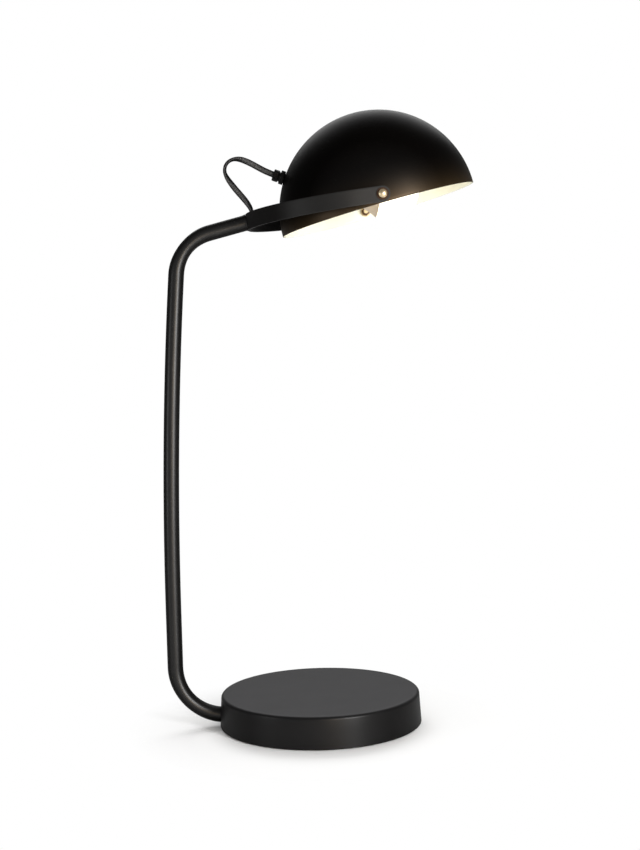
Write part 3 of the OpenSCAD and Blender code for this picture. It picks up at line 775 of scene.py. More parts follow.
class Finish(Enum):
    """Every finish on the lamp."""

    ENAMEL = Enamel(
        "black_enamel", (0.0015, 0.0014, 0.0013, 1), (0.0030, 0.0028, 0.0027, 1), 0.36, edge_ior=1.17
    )
    STRIP = Enamel(
        "strip_enamel",
        (0.0020, 0.0018, 0.0016, 1),
        (0.0034, 0.0031, 0.0029, 1),
        0.47,
        ior=1.42,
        edge_ior=1.17,
    )
    BASE = Enamel(
        "base_enamel",
        (0.0020, 0.0018, 0.0019, 1),
        (0.0034, 0.0032, 0.0034, 1),
        0.34,
        ior=1.33,
        edge_ior=1.19,
        # a lighter top: a little dust and a painted reflection of the bright surround
        dust_and_top_light=(0.0155, 0.015, 0.0165, 1),
    )
    SHADE_OUT = DomeEnamel(
        "shade_enamel",
        (0.0010, 0.0008, 0.0007, 1),
        (0.0020, 0.0017, 0.0015, 1),
        # painted warm glow along the rim
        (0.014, 0.009, 0.004, 1),
    )
    SHADE_IN = Enamel("shade_white", (0.86, 0.85, 0.73, 1), (0.82, 0.80, 0.66, 1), 0.5, 1.1, 0.008)
    BRASS = Metal("brass", (0.70, 0.58, 0.38, 1), (0.42, 0.31, 0.18, 1), 0.36)
    # painted highlight at the crown and painted shade round the foot of the pivot heads and inner nuts
    CROWN = BrassWithPaintedHighlight("brass_painted_highlight", (0.98, 0.92, 0.78, 1), (0.13, 0.07, 0.035, 1))
    BRONZE = Metal("dark_brass", (0.060, 0.036, 0.024, 1), (0.03, 0.019, 0.013, 1), 0.42)
    ZINC = Metal("zinc_steel", (0.62, 0.63, 0.64, 1), (0.5, 0.5, 0.49, 1), 0.36)
    IRON = Metal(
        "cast_iron", (0.16, 0.16, 0.165, 1), (0.09, 0.085, 0.08, 1), 0.65, pits=1.2, metallic=0.8
    )
    DARK_STEEL = Metal("blackened_steel", (0.016, 0.015, 0.015, 1), (0.010, 0.009, 0.009, 1), 0.38)
    NICKEL = Metal("cap_metal", (0.72, 0.70, 0.66, 1), (0.58, 0.56, 0.52, 1), 0.28)
    NYLON = Moulded("black_nylon", (0.003, 0.003, 0.003, 1), (0.006, 0.0058, 0.0058, 1), 0.34, ior=1.2)
    PHENOLIC = Moulded("phenolic", (0.02, 0.018, 0.017, 1), (0.03, 0.027, 0.025, 1), 0.3)
    IVORY = Moulded("ivory_plastic", (0.80, 0.77, 0.70, 1), (0.74, 0.70, 0.62, 1), 0.35)
    # the housing's white plastic, painted beige-brown for the shade it lies in
    BULB_SHADED_WHITE = Moulded("bulb_beige", (0.56, 0.46, 0.335, 1), (0.46, 0.365, 0.26, 1), 0.45)
    CIRCUIT = Moulded("circuit_green", (0.05, 0.22, 0.10, 1), (0.03, 0.15, 0.07, 1), 0.4)
    BOARD = Moulded("board_white", (0.86, 0.86, 0.82, 1), (0.78, 0.78, 0.74, 1), 0.35)
    FELT = Felt("felt", (0.012, 0.012, 0.013, 1), (0.05, 0.05, 0.052, 1))
    FLEX = Braid("textile_flex", (0.007, 0.0066, 0.0066, 1), (0.001, 0.001, 0.001, 1))
    GLOBE = LitGlobe("opal_globe", (0.93, 0.91, 0.86, 1), (1.0, 0.93, 0.70, 1), 1.5)

    def material(self) -> bpy.types.Material:
        """The finish's material, made on first use.

        Returns:
            The material.
        """
        name = f"{self.value.name}_finish"
        made = bpy.data.materials.get(name)
        if made is None:
            made = self.value.material()
            made.name = name
        return made


# ---------------------------------------------------------------- modelling


def only(obj: Piece) -> None:
    """Selects one object and makes it active.

    Args:
        obj: The object.
    """
    bpy.ops.object.select_all(action="DESELECT")
    obj.select_set(True)
    bpy.context.view_layer.objects.active = obj


@contextmanager
def editing(obj: Piece) -> Iterator[None]:
    """Edit mode on one object, with all of it selected.

    Args:
        obj: The object.

    Yields:
        Nothing.
    """
    only(obj)
    bpy.ops.object.mode_set(mode="EDIT")
    bpy.ops.mesh.select_mode(type="VERT")
    bpy.ops.mesh.select_all(action="SELECT")
    yield
    bpy.ops.object.mode_set(mode="OBJECT")


def primitive(name: str, kind: str, **sizes: object) -> Piece:
    """Adds a mesh primitive.

    Args:
        name: The new object's name.
        kind: plane, circle, cube, cylinder or another primitive.
        sizes: What the operator takes, in metres.

    Returns:
        The object.
    """
    bpy.ops.object.select_all(action="DESELECT")
    getattr(bpy.ops.mesh, f"primitive_{kind}_add")(**sizes)
    obj = bpy.context.object
    obj.name = obj.data.name = name
    only(obj)
    bpy.ops.object.transform_apply(location=True, rotation=True, scale=True)
    return obj


def extrude(x: float = 0, z: float = 0) -> None:
    """In edit mode, extrudes the selection by a move in millimetres."""
    move = {"value": (x * MM, 0, z * MM), "orient_type": "GLOBAL"}
    bpy.ops.mesh.extrude_region_move(TRANSFORM_OT_translate=move)


def face_outwards(merge: float = 0.0) -> None:
    """In edit mode, selects all and turns every face outwards.

    Args:
        merge: Vertices nearer than this, in metres, are merged first.
    """
    bpy.ops.mesh.select_all(action="SELECT")
    if merge:
        bpy.ops.mesh.remove_doubles(threshold=merge)
    bpy.ops.mesh.normals_make_consistent(inside=False)


def pick(obj: Piece, wanted: Callable[[Vector], bool]) -> None:
    """In edit mode, selects the vertices that a test wants.

    Args:
        obj: The object in edit mode.
        wanted: Takes a vertex's place in millimetres.
    """
    bpy.ops.mesh.select_all(action="DESELECT")
    bpy.ops.object.mode_set(mode="OBJECT")
    for vertex in obj.data.vertices:
        vertex.select = wanted(vertex.co / MM)
    bpy.ops.object.mode_set(mode="EDIT")


def starting_point(name: str, place: Sequence[float]) -> Piece:
    """A mesh of one vertex: a small plane, merged at its centre.

    Args:
        name: The object's name.
        place: Where the vertex lies, in millimetres.

    Returns:
        The object.
    """
    obj = primitive(name, "plane", size=MM, location=[p * MM for p in place])
    with editing(obj):
        bpy.ops.mesh.merge(type="CENTER")
    return obj


def lathe(name: str, profile: Sequence[Point2], steps: int = 96) -> Piece:
    """Spins a profile of radius and height round Z.

    Args:
        name: The object's name.
        profile: Points of (radius, height); a ring closes on its first point.
        steps: Steps round the axis.

    Returns:
        The object.
    """
    obj = starting_point(name, (profile[0][0], 0, profile[0][1]))
    with editing(obj):
        for here, there in zip(profile, profile[1:]):
            extrude(there[0] - here[0], there[1] - here[1])
        bpy.ops.mesh.select_all(action="SELECT")
        bpy.ops.mesh.spin(steps=steps, angle=FULL_TURN, center=(0, 0, 0), axis=(0, 0, 1))
        face_outwards(merge=2e-6)
    return obj


def arc(centre: Point2, radius: float, start: float, stop: float, steps: int) -> list[Point2]:
    """Points on a circle, with angles in degrees.

    Args:
        centre: The circle's centre.
        radius: Its radius.
        start: First angle.
        stop: Last angle.
        steps: Number of steps.

    Returns:
        The points, both ends included.
    """
    angles = [math.radians(start + (stop - start) * i / steps) for i in range(steps + 1)]
    return [(centre[0] + radius * math.cos(a), centre[1] + radius * math.sin(a)) for a in angles]


def modify(obj: Piece, kind: str, **settings: object) -> Piece:
    """Adds a modifier and applies it.

    Args:
        obj: The object.
        kind: The modifier's type.
        settings: Its settings.

    Returns:
        The object.
    """
    modifier = obj.modifiers.new(kind.title(), kind)
    for key, value in settings.items():
        setattr(modifier, key, value)
    only(obj)
    bpy.ops.object.modifier_apply(modifier=modifier.name)
    return obj


def bevel(obj: Piece, width: float, segments: int = 3, angle: float = 35) -> Piece:
    """Rounds an object's sharp edges.

    Args:
        obj: The object.
        width: The bevel's width in millimetres.
        segments: Segments across it.
        angle: Least angle of an edge that is rounded, in degrees.

    Returns:
        The object.
    """
    limits = {"limit_method": "ANGLE", "angle_limit": math.radians(angle)}
    return modify(obj, "BEVEL", width=width * MM, segments=segments, **limits)


def hexagon(name: str, across: float, height: float, middle: float, edge: float) -> Piece:
    """A hexagonal bar along Z, with its edges turned down.

    Args:
        name: The object's name.
        across: Its width across flats.
        height: Its height.
        middle: Where its middle lies on Z.
        edge: The width of its rounded edges.

    Returns:
        The bar.
    """
    corner = across / 2 / math.cos(math.pi / 6) * MM
    place = (0, 0, middle * MM)
    obj = primitive(name, "cylinder", vertices=6, radius=corner, depth=height * MM, location=place)
    return bevel(obj, edge)


def drill(obj: Piece, tool: Piece) -> Piece:
    """Cuts one object out of another and removes the tool.

    Args:
        obj: The object that is cut.
        tool: The cutting solid.

    Returns:
        The cut object.
    """
    modify(obj, "BOOLEAN", operation="DIFFERENCE", solver="EXACT", object=tool)
    bpy.data.objects.remove(tool, do_unlink=True)
    return obj


def bore(obj: Piece, radius: float, depth: float, place: Point2, vertices: int) -> Piece:
    """Drills a round hole along X.

    Args:
        obj: The object that is drilled.
        radius: The hole's radius.
        depth: The drill's length.
        place: X and Z of the drill's middle.
        vertices: The vertices round the hole.

    Returns:
        The drilled object.
    """
    tool = primitive(
        "drill",
        "cylinder",
        vertices=vertices,
        radius=radius * MM,
        depth=depth * MM,
        location=(place[0] * MM, 0, place[1] * MM),
        rotation=(0, math.pi / 2, 0),
    )
    return drill(obj, tool)


def moved(obj: Piece, frame: Matrix) -> Piece:
    """Moves an object's mesh from a local frame, in millimetres, to its place.

    Args:
        obj: The object.
        frame: The local frame.

    Returns:
        The object.
    """
    place = frame.copy()
    place.translation = place.translation * MM
    obj.data.transform(place)
    obj.data.update()
    return obj


def joined(name: str, pieces: Sequence[Piece]) -> Piece:
    """Joins objects into the first.

    Args:
        name: The joined object's name.
        pieces: The objects.

    Returns:
        The joined object.
    """
    only(pieces[0])
    for piece in pieces:
        piece.select_set(True)
    bpy.ops.object.join()
    pieces[0].name = pieces[0].data.name = name
    return pieces[0]


def copied(obj: Piece, name: str) -> Piece:
    """A copy with its own mesh.

    Args:
        obj: The object.
        name: The copy's name.

    Returns:
        The copy.
    """
    twin = obj.copy()
    twin.data = obj.data.copy()
    twin.name = twin.data.name = name
    bpy.context.collection.objects.link(twin)
    return twin


def smoothed(obj: Piece, angle: float = 32) -> Piece:
    """Shades an object smooth, but for its sharp edges.

    Args:
        obj: The object.
        angle: Edges sharper than this, in degrees, stay sharp.

    Returns:
        The object.
    """
    only(obj)
    bpy.ops.object.shade_smooth_by_angle(angle=math.radians(angle))
    return obj


# ---------------------------------------------------------------- pieces on their bodies


@dataclass
class SubAssembly:
    """A group of pieces that ride on one body."""

    frame: dict[str, object]
    body: Body

    def take(
        self,
        obj: Piece,
        finish: Finish,
        slot: str,
        replaces: Sequence[str] = (),
        angle: float = 32,
    ) -> None:
        """Finishes a new piece and puts it on its body.

        Args:
            obj: The piece.
            finish: Its finish, where it has none yet.
            slot: The record's material slot; not used.
            replaces: The CAD nodes that it stands for.
            angle: Sharpest edge that is shaded smooth, in degrees.
        """
        smoothed(obj, angle)
        if len(obj.data.materials) == 0:
            obj.data.materials.append(finish.material())
        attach(obj, self.body.value)
        if replaces:
            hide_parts(*replaces)
        LOG.info("%s: %s, %d faces", self.body.value, obj.name, len(obj.data.polygons))

    def dress(self, finish: Finish, *nodes: str) -> None:
        """Gives carried-over CAD nodes a finish.

        Args:
            finish: The finish.
            nodes: The nodes' names.
        """
        for name in nodes:
            node = self.frame["nodes"][name]
            node.data.materials.clear()
            node.data.materials.append(finish.material())
            LOG.info("%s: %s carried over", self.body.value, name)


# ---------------------------------------------------------------- stand


@dataclass
class Base(SubAssembly):
    """The weighted round base."""

    rim_r: float = 104.0
    top_r: float = 102.25
    rim_z: float = 0.8
    top_z: float = 32.7
    wall: float = 1.5
    edge: float = 3.5
    lip: float = 0.35
    hole_r: float = 8.12

    def section(self, inset: float) -> list[Point2]:
        """Half of the cover's section.

        Args:
            inset: How far inside the outer face.

        Returns:
            Points from the lower rim to the middle of the top.
        """
        lean = math.atan((self.rim_r - self.top_r) / (self.top_z - self.rim_z))
        shift_r = inset / math.cos(lean)

        def side(z: float) -> float:
            """Radius of the side at a height."""
            return self.rim_r - (z - self.rim_z) * math.tan(lean)

        centre_z = self.top_z - self.edge
        centre_r = side(centre_z) - self.edge / math.cos(lean)
        radius = self.edge - inset
        points = [(side(z) - shift_r, z) for z in (self.rim_z, 2.0, 10.0, 20.0)]
        points += arc((centre_r, centre_z), radius, math.degrees(lean), 90, 12)
        return points + [(r, centre_z + radius) for r in (80, 50, 20, 0)]

    def build(self) -> None:
        """Models the cover and dresses what it holds."""
        outer = self.section(0)
        outer[0] = (outer[0][0] - self.lip, self.rim_z)
        outer.insert(1, (outer[1][0] + 0.06, self.rim_z + self.lip))
        cover = lathe("base_cover", outer[::-1] + self.section(self.wall), 160)
        bore(cover, self.hole_r, 14, (-self.rim_r, PLAN.stem_z), 64)
        self.take(cover, Finish.BASE, "black_enamel", ["base_housing"], 28)
        self.dress(Finish.IRON, "base_weight")
        self.dress(Finish.ZINC, "bottom_plate", "housing_posts", "base_screws", "anchor_screws")
        self.dress(Finish.FELT, "foot_pad")
        self.dress(Finish.NYLON, "inlet_gland", "gland_nut")
        self.dress(Finish.IVORY, "flex_anchor")


@dataclass
class Stem(SubAssembly):
    """The bent tube, its weld and what holds it in the base."""

    tube_r: float = 8.0
    wall: float = 1.2
    flattening: float = 0.08
    widening: float = 0.45
    overlap: float = 0.8
    yoke_r: float = 107.0

    def flatten(self, obj: Piece, centre: Vector, radius: float, first: float, last: float) -> None:
        """Makes the tube a little oval in a bend, as a bent tube is.

        Args:
            obj: The tube.
            centre: The bend's centre.
            radius: The bend's radius.
            first: The bend's first angle about the centre, in degrees from +X to +Z.
            last: The bend's last angle.
        """
        for vertex in obj.data.vertices:
            arm = vertex.co / MM - centre
            angle = math.degrees(math.atan2(arm.z, arm.x)) % 360
            share = (angle - first) / (last - first)
            flat = math.hypot(arm.x, arm.z)
            if not 0 < share < 1 or abs(flat - radius) > 1.5 * self.tube_r:
                continue
            weight = math.sin(math.pi * share) ** 2
            wanted = radius + (flat - radius) * (1 - self.flattening * weight)
            wider = 1 + self.widening * self.flattening * weight
            oval = Vector((arm.x * wanted / flat, arm.y * wider, arm.z * wanted / flat))
            vertex.co = (centre + oval) * MM

    def tube(self) -> Piece:
        """The tube, swept from its end in the base to the yoke.

        Returns:
            The piece.
        """
        obj = primitive(
            "stem",
            "circle",
            vertices=56,
            radius=self.tube_r * MM,
            fill_type="NOTHING",
            location=(-PLAN.tube_end * MM, 0, PLAN.stem_z * MM),
            rotation=(0, math.pi / 2, 0),
        )
        low_centre = Vector((-PLAN.reach + PLAN.low_bend, 0, PLAN.stem_z + PLAN.low_bend))
        bow_centre = Vector((-PLAN.reach + PLAN.bow, 0, low_centre.z + PLAN.straight))
        rise = math.radians(PLAN.arm_rise)
        length = PLAN.arm + self.overlap
        with editing(obj):
            extrude(-(PLAN.reach - PLAN.low_bend - PLAN.tube_end))
            self.sweep(low_centre, 90, 28)
            extrude(z=PLAN.straight)
            self.sweep(bow_centre, PLAN.bow_turn, 14)
            self.sweep(PLAN.top_centre(), 90 - PLAN.bow_turn - PLAN.arm_rise, 28)
            extrude(length * math.cos(rise), length * math.sin(rise))
            face_outwards()
        self.flatten(obj, low_centre, PLAN.low_bend, 180, 270)
        self.flatten(obj, PLAN.top_centre(), PLAN.top_bend, 90 + PLAN.arm_rise, 180 - PLAN.bow_turn)
        return modify(obj, "SOLIDIFY", thickness=self.wall * MM, offset=-1)

    @staticmethod
    def sweep(centre: Vector, turn: float, steps: int) -> None:
        """Spins the selected ring about an axis along Y.

        Args:
            centre: A point on the axis, in millimetres.
            turn: The turn in degrees.
            steps: Steps in the turn.
        """
        bpy.ops.mesh.spin(steps=steps, angle=-math.radians(turn), center=centre * MM, axis=(0, 1, 0))

    def weld(self) -> Piece:
        """The painted-over weld between tube and strip.

        Returns:
            The piece.
        """
        ring = [(7.6, -0.4), (8.2, -0.3), (8.4, 0.0), (8.42, 0.5)]
        ring += [(8.3, 1.1), (8.12, 1.8), (7.97, 2.6), (7.6, 2.6)]
        obj = lathe("stem_weld", ring + ring[:1], 56)
        for vertex in obj.data.vertices:
            angle = math.atan2(vertex.co.y, vertex.co.x)
            # two waves round the ring, so that the bead isn't quite even
            swell = 1 + 0.006 * math.sin(9 * angle) + 0.004 * math.sin(17 * angle + 1.3)
            vertex.co.x *= swell
            vertex.co.y *= swell
            # the strip curves away from the tube at the weld's two sides
            vertex.co.z -= (vertex.co.y / MM) ** 2 / (2 * self.yoke_r) * MM
        lean = (PLAN.arm_rise + PLAN.yoke_rise) / 2
        return moved(obj, Matrix.Translation(PLAN.arm_end()) @ turn_y(-90 - lean))

    def build(self) -> None:
        """Models the tube and its weld and dresses their fixings."""
        self.take(self.tube(), Finish.ENAMEL, "black_enamel", ["stem_tube"], 40)
        self.take(self.weld(), Finish.ENAMEL, "black_enamel", angle=60)
        self.dress(Finish.ZINC, "stem_saddle", "saddle_screws")
        self.dress(Finish.NYLON, "tube_end_bush")
        self.dress(Finish.FLEX, "stem_lead")


@dataclass
class Yoke(SubAssembly):
    """The strip that carries the shade."""

    middle: float = 105.5
    thick: float = 3.0
    back: float = -22.7
    pivot_half: float = 7.5
    root_half: float = 8.1
    edge: float = 0.45
    hole_r: float = 5.5
    rows: int = 10
    columns: int = 3
    tip_columns: int = 9

    def round_tip(self, obj: Piece, side: int) -> None:
        """Extends one end of the strip into a half round.

        Args:
            obj: The strip in edit mode.
            side: -1 or 1.
        """
        pick(obj, lambda p: abs(p.x) < 0.01 and p.y * side > 0)
        before_x, before_k = 0.0, 1.0
        for column in range(1, self.tip_columns + 1):
            angle = math.radians(90 * column / self.tip_columns)
            x = self.pivot_half * math.sin(angle)
            k = max(math.cos(angle), 1e-4)
            extrude(x - before_x)
            bpy.ops.transform.resize(
                value=(1, 1, k / before_k), center_override=(0, 0, 0), orient_type="GLOBAL"
            )
            before_x, before_k = x, k

    def strip(self) -> Piece:
        """The strip in the yoke's frame, before it is moved to its place.

        Returns:
            The piece.
        """
        obj = starting_point("yoke", (0, -self.middle, -self.pivot_half))
        with editing(obj):
            for _ in range(self.rows):
                extrude(z=2 * self.pivot_half / self.rows)
            bpy.ops.mesh.select_all(action="SELECT")
            for _ in range(self.columns):
                extrude(self.back / self.columns)
            bpy.ops.mesh.spin(steps=64, angle=math.pi, center=(self.back * MM, 0, 0), axis=(0, 0, 1))
            for _ in range(self.columns):
                extrude(-self.back / self.columns)
            for side in (-1, 1):
                self.round_tip(obj, side)
            face_outwards(merge=3e-6)
        for vertex in obj.data.vertices:
            share = min(1.0, max(0.0, -vertex.co.x / MM / PLAN.yoke_reach))
            half = self.pivot_half + (self.root_half - self.pivot_half) * share
            vertex.co.z *= half / self.pivot_half
        modify(obj, "SOLIDIFY", thickness=self.thick * MM, offset=0)
        bore(obj, self.hole_r, 12, (-(PLAN.yoke_reach - self.thick / 2), 0), 48)
        return bevel(obj, self.edge, angle=40)

    def build(self) -> None:
        """Models the strip."""
        strip = moved(self.strip(), PLAN.yoke())
        self.take(strip, Finish.STRIP, "black_enamel", ["yoke_strip"], 30)
        self.dress(Finish.NYLON, "yoke_bush")


# ---------------------------------------------------------------- shade


@dataclass
class Pivots(SubAssembly):
    """The brass screws, nuts, washers and bushes at both sides of the shade."""

    washer_from: float = 107.1
    head_from: float = 108.1
    head_high: float = 3.98
    nut_across: float = 8.0
    nut_high: float = 4.2

    def head(self) -> Piece:
        """One domed brass head on its washer side, with a fine step at its foot.

        Returns:
            The piece.
        """
        z = self.head_from
        foot = [(0, z), (3.9, z), (4.0, z + 0.15), (4.0, z + 1.35), (3.85, z + 1.6), (3.55, z + 1.75)]
        crown = arc((0, z + 0.1), 3.9, 26, 90, 12)[:-1] + [(0, z + self.head_high)]
        return lathe("pivot_head", foot + crown, 56)

    def washer(self) -> Piece:
        """One outer washer with rounded edges.

        Returns:
            The piece.
        """
        z = self.washer_from
        ring = [(2.6, z), (5.45, z), (5.7, z + 0.25), (5.7, z + 0.75), (5.45, z + 1), (2.6, z + 1)]
        return lathe("pivot_washer", ring + ring[:1], 56)

    def inner_nut(self, seat: float) -> Piece:
        """One inner nut: a hexagon with chamfered corners and a domed end.

        Args:
            seat: Where the nut's flange ends, along the pivot.

        Returns:
            The nut.
        """
        nut = hexagon("nut_hexagon", self.nut_across, self.nut_high, seat - self.nut_high / 2, 0.45)
        z = seat - self.nut_high
        round_end = arc((0, z + 0.6), 3.55, -10, -90, 10)[:-1] + [(0, z - 1.3)]
        dome = lathe("nut_dome", [(0, z + 1), (3.5, z + 1), (3.5, z)] + round_end, 40)
        thread = lathe("nut_thread", [(0, seat), (2.5, seat), (2.5, seat + 3.4), (0, seat + 3.4)], 32)
        return joined("pivot_inner_nut", [nut, dome, thread])

    def build(self) -> None:
        """Models each piece once and copies it to both sides."""
        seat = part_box("inner_washers")[1][1] / MM - 1.0
        models = (
            ("head", self.head(), Finish.CROWN, "brass", (), 35),
            ("washer", self.washer(), Finish.BRONZE, "blackened_steel", ("pivot_washers",), 32),
            ("inner_nut", self.inner_nut(seat), Finish.CROWN, "brass", ("inner_nuts",), 32),
        )
        for side, word in ((-1, "near"), (1, "far")):
            for label, model, finish, slot, nodes, angle in models:
                obj = copied(model, f"{word}_pivot_{label}")
                self.take(moved(obj, PLAN.pivot_side(side)), finish, slot, nodes, angle)
        for _, model, *_ in models:
            bpy.data.objects.remove(model, do_unlink=True)
        self.dress(Finish.BRASS, "pivot_screws", "inner_washers")
        self.dress(Finish.NYLON, "friction_bushes")


@dataclass
class Shade(SubAssembly):
    """The spun hemisphere, black outside and white inside."""

    radius: float = 99.98
    wall: float = 0.98

    def build(self) -> None:
        """Models the shade."""
        inner = self.radius - self.wall
        profile = [(0, self.radius)] + list(reversed(arc((0, 0), self.radius, 0.25, 90, 56)))[1:]
        profile += [(self.radius - 0.22, 0.06), (self.radius - 0.5, 0.0), (inner + 0.22, 0.06)]
        profile += arc((0, 0), inner, 0.25, 90, 56)[:-1] + [(0, inner)]
        dome = lathe("shade", profile, 168)
        dome.data.materials.append(Finish.SHADE_OUT.material())
        dome.data.materials.append(Finish.SHADE_IN.material())
        for face in dome.data.polygons:
            face.material_index = int(face.center.length / MM < inner + 0.18)
        self.take(moved(dome, PLAN.shade()), Finish.SHADE_OUT, "shade_enamel", ["shade_dome"], 50)


@dataclass
class Grip(SubAssembly):
    """The flex grip on the shade's back."""

    seat: float = 100.1
    collar: float = 4.5
    neck: float = 1.3
    clamp: float = 6.0
    clamp_r: float = 6.1
    bore_r: float = 3.3
    across: float = 13.5
    slot_width: float = 0.7
    slot_depth: float = 1.2

    def collar_nut(self) -> Piece:
        """The hexagonal collar, with its corners turned down."""
        middle = self.seat + self.collar / 2
        return hexagon("grip_hexagon", self.across, self.collar, middle, 0.55)

    def clamp_body(self) -> Piece:
        """The neck and the clamp, with the flex's mouth.

        Returns:
            The piece.
        """
        z0 = self.seat - 8
        z1 = self.seat + self.collar
        z2 = z1 + self.neck
        z3 = z2 + self.clamp
        r = self.clamp_r
        hole = self.bore_r
        profile = [(hole, z0), (4.95, z0), (4.95, z2 - 0.4), (5.1, z2)]
        profile += [(r - 0.5, z2), (r, z2 + 0.5), (r, z3 - 0.9)]
        profile += arc((r - 0.9, z3 - 0.9), 0.9, 0, 90, 6)[1:]
        profile += [(hole + 0.6, z3), (hole, z3 - 0.6), (hole, z0)]
        return lathe("grip_clamp", profile, 56)

    def screw(self) -> Piece:
        """The clamp screw, with a slot across its head.

        Returns:
            The piece.
        """
        reach = self.clamp_r
        head = [(0, reach - 1), (1.5, reach - 1), (1.5, reach), (2.5, reach)]
        head += [(2.5, reach + 1.0), (2.2, reach + 1.35), (0, reach + 1.4)]
        obj = lathe("grip_screw", head, 40)
        slot = primitive(
            "slot_tool",
            "cube",
            size=MM,
            location=(0, 0, (reach + 1.3) * MM),
            scale=(6, self.slot_width, self.slot_depth),
        )
        drill(obj, slot)
        across = shift(0, self.seat + self.collar + self.neck + self.clamp / 2)
        return moved(obj, across @ Matrix.Rotation(math.pi / 2, 4, "X"))

    def build(self) -> None:
        """Models the grip."""
        self.take(moved(self.collar_nut(), PLAN.grip()), Finish.NYLON, "black_nylon", ["grip_collar"])
        self.take(moved(self.clamp_body(), PLAN.grip()), Finish.NYLON, "black_nylon", ["grip_body"], 40)
        screw = moved(self.screw(), PLAN.grip())
        self.take(screw, Finish.DARK_STEEL, "blackened_steel", ["grip_clamp_screw"])
        self.dress(Finish.NYLON, "grip_inner_nut")


@dataclass
class Lampholder(SubAssembly):
    """The lampholder inside the shade."""

    skirt_r: float = 18.1
    ribs: int = 8
    rib_pitch: float = 2.4

    def build(self) -> None:
        """Models the skirt and dresses the rest."""
        r = self.skirt_r
        outer = [(r, 80.2), (r, 77.0), (r - 0.4, 76.6), (r - 0.4, 75.4), (r, 75.0)]
        for rib in range(self.ribs):
            z = 72.5 - self.rib_pitch * rib
            outer += [(r, z + 1.2), (r - 0.5, z + 0.8), (r - 0.5, z + 0.1), (r, z - 0.3)]
        outer += [(r, 49.0), (r - 0.3, 47.4), (r - 1, 47.0), (r - 1.6, 47.4), (r - 2, 48.2)]
        inner = [(r - 2, 78.2), (14.3, 78.2), (14.3, 80.2), outer[0]]
        skirt = lathe("holder_skirt_ribbed", outer + inner, 72)
        self.take(moved(skirt, PLAN.bulb()), Finish.PHENOLIC, "phenolic", ["holder_skirt"])
        self.dress(Finish.PHENOLIC, "holder_cap", "bulb_insulator")
        self.dress(Finish.ZINC, "holder_bracket", "nipple_nut", "holder_nipple")
        self.dress(Finish.IVORY, "holder_insert")
        self.dress(Finish.BRASS, "holder_terminals", "holder_screw_shell", "holder_contact")
        self.dress(Finish.FLEX, "shade_lead")


@dataclass
class Bulb(SubAssembly):
    """The lit bulb."""

    globe_r: float = 30.0
    globe_wall: float = 1.2
    seam: float = 9.8
    neck: float = 14.4
    first: float = 9.9
    last: float = 49.8
    flare: float = 1.8
    wall: float = 1.4

    def build(self) -> None:
        """Models the globe and the housing."""
        start = math.degrees(math.asin(self.seam / self.globe_r))
        outer = arc((0, 0), self.globe_r, start, -90, 60)
        inner = arc((0, 0), self.globe_r - self.globe_wall, -90, start, 60)
        globe = lathe("globe", outer + inner + outer[:1], 112)
        self.take(moved(globe, PLAN.bulb()), Finish.GLOBE, "opal_globe", ["bulb_globe"], 50)
        rim = math.sqrt(self.globe_r**2 - self.seam**2)
        neck, first, last, wall = self.neck, self.first, self.last, self.wall
        levels = [first + (last - first) * i / 20 for i in range(21)]
        cone = [(neck + (rim - neck) * ((last - z) / (last - first)) ** self.flare, z) for z in levels]
        housing = [(rim, first), (rim, first + 0.5), (rim - 0.7, first + 1.1)] + cone[1:]
        housing += [(neck, 51.0), (neck - 0.5, 51.1), (10.3, 51.1), (10.3, 49.8), (neck - wall, 48.8)]
        housing += [(r - wall, z) for r, z in reversed(cone[1:-1])] + [(rim - wall, first), (rim, first)]
        shell = lathe("bulb_cone", housing, 96)
        self.take(moved(shell, PLAN.bulb()), Finish.BULB_SHADED_WHITE, "bulb_beige", ["bulb_housing"], 30)
        self.dress(Finish.NICKEL, "bulb_screw_cap", "bulb_heat_plate")
        self.dress(Finish.BRASS, "bulb_contact")
        self.dress(Finish.CIRCUIT, "bulb_driver")
        self.dress(Finish.BOARD, "bulb_led_board")


# ---------------------------------------------------------------- flex


